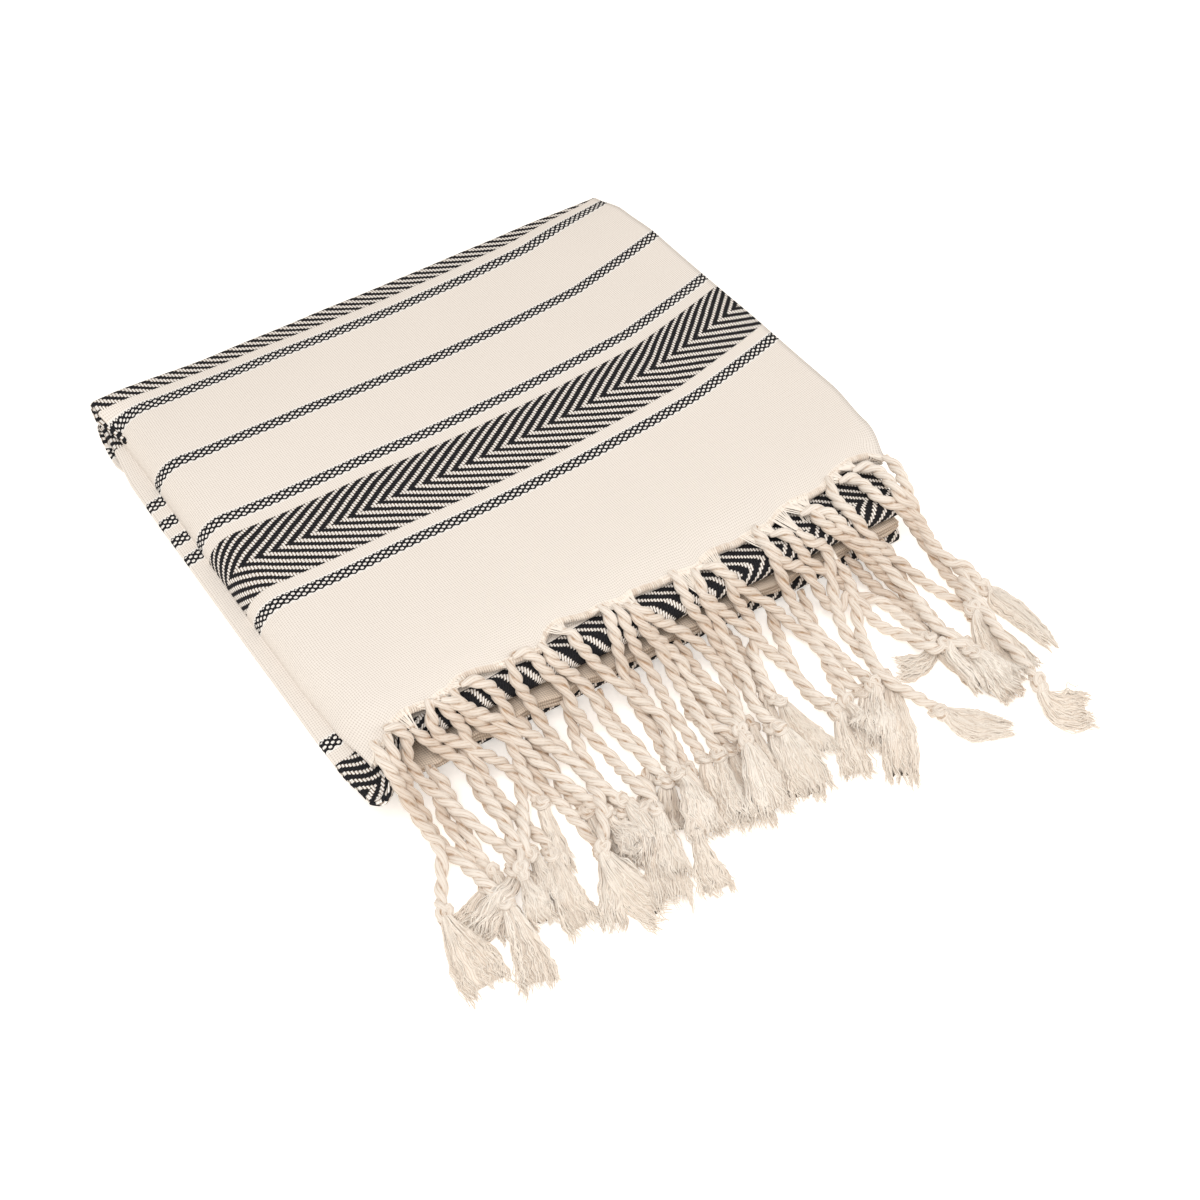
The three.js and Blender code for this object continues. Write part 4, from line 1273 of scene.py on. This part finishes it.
def cord_loom():
    loom = Loom("twisted cord")
    paths, ply_half, ply_out, turn_length, step, sides, material = loom.entrances(
        Paths="Geometry", Ply_half="Float", Ply_out="Float", Turn_length="Float", Step="Float", Sides="Int",
        Material="Material")
    bare = loom.node("GeometryNodeMeshToCurve", Mesh=paths)
    even = loom.node("GeometryNodeResampleCurve", {"mode": "LENGTH"}, Curve=bare.outputs[0], Length=step)
    along = loom.value(loom.node("GeometryNodeSplineParameter"), "Length")
    normal = loom.node("GeometryNodeInputNormal").outputs[0]
    tangent = loom.node("GeometryNodeInputTangent").outputs[0]
    side = loom.vector("CROSS_PRODUCT", tangent, normal)
    measured = loom.store(even.outputs[0], "along", "FLOAT", along)
    unit = loom.vector("NORMALIZE", loom.node("GeometryNodeInputPosition").outputs[0])
    section = loom.store(loom.section(sides, ply_half), "around", "FLOAT_VECTOR", unit)
    join = loom.node("GeometryNodeJoinGeometry")
    for ply in range(2):
        turn = along / turn_length * (-2 * math.pi) + (along * UNEVEN_RATE).sine() * UNEVEN + ply * math.pi
        outward = loom.vector("ADD", loom.vector("SCALE", normal, scale=turn.cosine()),
                              loom.vector("SCALE", side, scale=turn.sine()))
        marked = loom.store(measured, "outward", "FLOAT_VECTOR", outward)
        reach = Yarn(loom.tree, loom.stored("slim")) * ply_out
        moved = loom.node("GeometryNodeSetPosition", Geometry=marked,
                          Offset=loom.vector("SCALE", outward, scale=reach))
        feed(loom.tree, join.inputs[0], loom.tube(moved.outputs[0], section))
    face = loom.vector("DOT_PRODUCT", normal, loom.stored("outward", "FLOAT_VECTOR"))
    loom.close(loom.store(join.outputs[0], "open", "FLOAT", face), material)
    return loom


def thread_loom():
    loom = Loom("loose threads")
    paths, half, sides, material = loom.entrances(Paths="Geometry", Half="Float", Sides="Int",
                                                  Material="Material")
    bare = loom.node("GeometryNodeMeshToCurve", Mesh=paths)
    loom.close(loom.tube(bare.outputs[0], loom.section(sides, half)), material)
    return loom


cord_maker, thread_maker = cord_loom(), thread_loom()
print("two trees:", cord_maker.tree.name, "and", thread_maker.tree.name)

# %% [markdown]
# Cotton yarn has no gloss. Each ply is itself several yarns laid side by side, seen as fine lines that wind
# around it the other way. The shader draws them from the measures kept on the surface, and paints shade into
# the groove between the plies. Buried yarn and yarn near the floor get painted shade too, darker and warmer, as
# little light gets there. On the bunches the gaps between the drawn yarns are painted shade.

# %% Dye the cords, threads and bunches
YARN = (0.93, 0.872, 0.80, 1.0)
COMBED = (0.96, 0.90, 0.825, 1.0)
YARN_DEEP = (0.50, 0.34, 0.22, 1.0)
# colour of the painted shade near the floor
YARN_FLOOR_SHADE = (0.84, 0.68, 0.52, 1.0)
YARNS_IN_PLY, FIBRES_IN_PLY = 7, 21
LOOSE_YARNS = 34
# how high and how strong the painted shade near the floor is
FLOOR_SHADE_HEIGHT, FLOOR_SHADE_SHARE = 10, 0.25   # below this height yarn takes up to this share of the low colour
COTTON = dict(Roughness=0.95, Sheen_Weight=0.2, Sheen_Roughness=0.5)


def combed(dye, shade):
    """The colour of combed yarn, with painted shade: warmer near the floor, darker where it is buried."""
    height = dye.parts(dye.place())[2] * 1000
    clean = dye.blend(((FLOOR_SHADE_HEIGHT - height) / FLOOR_SHADE_HEIGHT).kept() * FLOOR_SHADE_SHARE, COMBED, YARN_FLOOR_SHADE)
    return dye.blend((shade + dye.mark("buried") * 0.3).kept(), clean, YARN_DEEP)


def cord_dye():
    dye = Dye("cord yarn")
    place = dye.place()
    around = dye.parts(dye.node("ShaderNodeAttribute", {"attribute_name": "around"}).outputs["Vector"])
    angle = around[1].step("ARCTAN2", around[0])
    along = dye.mark("along") * 1000
    drift = dye.noise(160.0, place) * 2.2
    patchy = (dye.noise(260.0, place) * 3 - 1).kept()
    yarn = (angle * YARNS_IN_PLY + along * 0.6 + drift).sine()
    fine = (angle * FIBRES_IN_PLY + along * 1.2 + drift * 3).sine()
    fluff = dye.noise(1900.0, place, 3.0)
    line = (0 - yarn - 0.25).kept()
    # painted shade: the groove between the plies, and yarn buried under other cords, are darkened
    groove = (0.12 - dye.mark("open")).kept()
    shade = (line * (patchy * 0.5 + 0.1) + (0.5 - fluff).kept() * 0.35 + groove * (patchy * 0.9 + 0.3)
             + dye.mark("tone") * 0.09 + (0 - fine).kept() * 0.12 + dye.mark("buried") * 0.36).kept()
    return dye.finish(yarn * 0.3 + fine * 0.2 + fluff * 0.5, 0.6, 0.0003,
                      Base_Color=dye.blend(shade, YARN, YARN_DEEP), **COTTON)


def thread_dye():
    dye = Dye("loose threads")
    fluff = dye.noise(1500.0, dye.place())
    shade = dye.mark("tone") * 0.5 - 0.2 + (0.5 - fluff).kept() * 0.06
    return dye.finish(fluff, 0.3, 0.0001, Base_Color=combed(dye, shade), **COTTON)


def bunch_dye():
    dye = Dye("combed bunch")
    place = dye.place()
    u, v, _ = dye.parts(dye.chart("bunch_chart"))
    drift = dye.noise(170.0, place) * 1.6
    yarn = abs((u * LOOSE_YARNS + drift + (v * 1000 * 0.5 + drift * 2).sine() * 0.12).part() - 0.5)
    fluff = dye.noise(1700.0, place)
    # painted shade: dark gaps between the drawn yarns, and a slightly darker whole bunch
    shade = (yarn * 2.4 - 0.62).kept() * 0.75 + 0.04 + (0.5 - fluff).kept() * 0.1
    return dye.finish((1 - yarn * 2) * 0.8 + fluff * 0.3, 0.8, 0.0004, Base_Color=combed(dye, shade), **COTTON)


cord_finish, thread_finish, bunch_finish = cord_dye(), thread_dye(), bunch_dye()
print("three finishes of the same cotton")

# %% [markdown]
# The bunches are made straight from their rings: quads from ring to ring and a face over each end, so that
# every one is closed. Each has a chart of its own, around and along, on which its shader draws the yarns.

# %% Make the bunches
def bunch_faces(rings, base):
    """Faces of one closed bunch whose points start at base, and a chart place for each of their corners."""
    sides, last = len(rings[0]), len(rings) - 1
    middles = np.array([ring.mean(0) for ring in rings])
    along = np.append(0, np.cumsum([np.linalg.norm(step) for step in np.diff(middles, axis=0)])) * MM
    faces, chart = [], []
    for r in range(last):
        for s in range(sides):
            corners = [(r, s), (r, s + 1), (r + 1, s + 1), (r + 1, s)]
            faces.append([base + ring * sides + side % sides for ring, side in corners])
            chart += [(side / sides, along[ring]) for ring, side in corners]
    for r, order in ((0, -1), (last, 1)):
        faces.append([base + r * sides + s for s in range(sides)][::order])
        chart += [(s / sides, along[r]) for s in range(sides)]
    return faces, chart


def bunch_object(name, bunches):
    """The dense inside of every tassel, one closed shell each."""
    faces, chart, base = [], [], 0
    for rings in bunches:
        more_faces, more_chart = bunch_faces(rings, base)
        faces, chart, base = faces + more_faces, chart + more_chart, base + sum(len(ring) for ring in rings)
    points = np.vstack([ring for rings in bunches for ring in rings])
    made = mesh_object(name, points, faces)
    made.data.shade_smooth()
    made.data.uv_layers.new(name="bunch_chart").data.foreach_set("uv", np.array(chart).ravel())
    made.data.materials.append(bunch_finish)
    made.data.attributes.new("buried", "FLOAT", "POINT").data.foreach_set("value", buried(points))
    return made


print("a bunch has", BUNCH_RINGS, "rings of", BUNCH_SIDES, "points")

# %% [markdown]
# The cords and threads go through the looms. Each cord has a tone of its own and each thread too, so no two
# look quite alike, and every point knows how deep it is buried, which sets the painted shade of yarn under
# other cords, where little light gets.
# Threads thin out at their ends.

# %% Make the fringe
THREAD_TAPER = np.append(np.ones(THREAD_POINTS - 2), [0.8, 0.45])
PLY = dict(Ply_half=0.00202, Ply_out=0.00138, Turn_length=0.0176, Step=0.0013, Sides=10)
THREAD = dict(Half=0.00034, Sides=3)
fringe = {}
for row, of in laid.items():
    paths, threads = [path for path, _ in of["cords"]], of["threads"]
    fringe[row + "_cords"] = cord_maker.weave(
        row + "_cords", paths,
        dict(slim=[slim for _, slim in of["cords"]], tone=[np.full(len(p), random.random()) for p in paths],
             buried=[soften(buried(p), 3) for p in paths]),
        Material=cord_finish, **PLY)
    fringe[row + "_threads"] = thread_maker.weave(
        row + "_threads", threads,
        dict(slim=[THREAD_TAPER] * len(threads),
             tone=[np.full(THREAD_POINTS, random.random()) for _ in threads],
             buried=[buried(p) for p in threads]),
        Material=thread_finish, **THREAD)
    fringe[row + "_bunches"] = bunch_object(row + "_bunches", of["bunches"])
for name, piece in fringe.items():
    print(name, triangles(piece), "triangles")

# %% [markdown]
# ## The hem
#
# Two details hide the step from cloth to cord. Threads of the warp run in a fan from the hem into the root of
# each cord, and a band of twined thread wraps the edge, seen as close short ridges where the hem curls under.
# Both are short bare paths, so the tree that made the loose threads makes these too, with a thicker thread.
# The twining gets a darker tone, as painted shade where the hem curls under.

# %% Fans and twining
FAN_HALF, FAN_THREADS, FAN_STEP = 4.6, 9, 1.2     # half the width of a fan at the hem, mm
TWINE_ENDS, TWINE_STEP = 157.0, 1.12
TWINE_ARC = np.array([(0, 1.4, -0.35), (0, 0.1, 0.12), (0, -1.1, -0.6), (0, -1.3, -1.9), (0, -0.4, -2.9)])
hem_edge = cloth_points[0, 0, :FLAT_STATIONS + ROLL_STATIONS][::-1]


def on_hem(x):
    """The upper corner of the hem's edge at x."""
    return np.array([np.interp(x, hem_edge[:, 0], hem_edge[:, axis]) for axis in range(3)])


fans, twining = [], []
for path, _ in laid["upper"]["cords"]:
    root, onward = path[0], path[4] - path[0]
    for spot in np.linspace(-1, 1, FAN_THREADS) + random.uniform(-0.06, 0.06, FAN_THREADS):
        edge = on_hem(np.clip(root[0] + spot * FAN_HALF - 1.5, -163, 160))
        inside = edge + [spot * 0.7, 2.2, -0.15]
        close = root + onward * random.uniform(0.25, 0.5) + [spot * 0.9, 0, 1.1 - 1.4 * spot * spot]
        half_way = (edge + close) / 2 + [0, 0, 0.2 - 0.8 * spot * spot]
        fans.append(smooth_path([inside, edge + [0, -0.3, 0.1], half_way, close, root + onward], FAN_STEP))
for x in np.arange(-TWINE_ENDS, TWINE_ENDS, TWINE_STEP):
    lean = np.array([0.35 * math.sin(x / 9), 0, 0])
    twining.append(on_hem(x) + TWINE_ARC + lean * np.arange(len(TWINE_ARC))[:, None] * 0.3)
# the twining's higher tone is painted shade where the hem curls under; the fans keep an ordinary tone
for name, paths, half, tint in (("warp_fans", fans, 0.0004, 0.5), ("hem_twining", twining, 0.00055, 1.1)):
    fringe[name] = thread_maker.weave(
        name, paths,
        dict(slim=[np.ones(len(p)) for p in paths], buried=[np.zeros(len(p)) for p in paths],
             tone=[np.full(len(p), tint * random.uniform(0.6, 1.2)) for p in paths]),
        Half=half, Sides=5, Material=thread_finish)
    print(name, triangles(fringe[name]), "triangles")

# %% [markdown]
# ## Putting the towel in place
#
# Every piece rides on the part's one body, so everything that is knotted or sewn to the cloth goes with it. The
# fringe pieces stand for the two plain combs and the cloth for the plain pile, and those plain parts are
# hidden.

for name, piece in fringe.items():
    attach(piece, "root")
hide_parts("fringe_upper")
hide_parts("fringe_lower")
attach(cloth, "root")
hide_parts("cloth")
round(CLOTH_LENGTH * MM, 3)
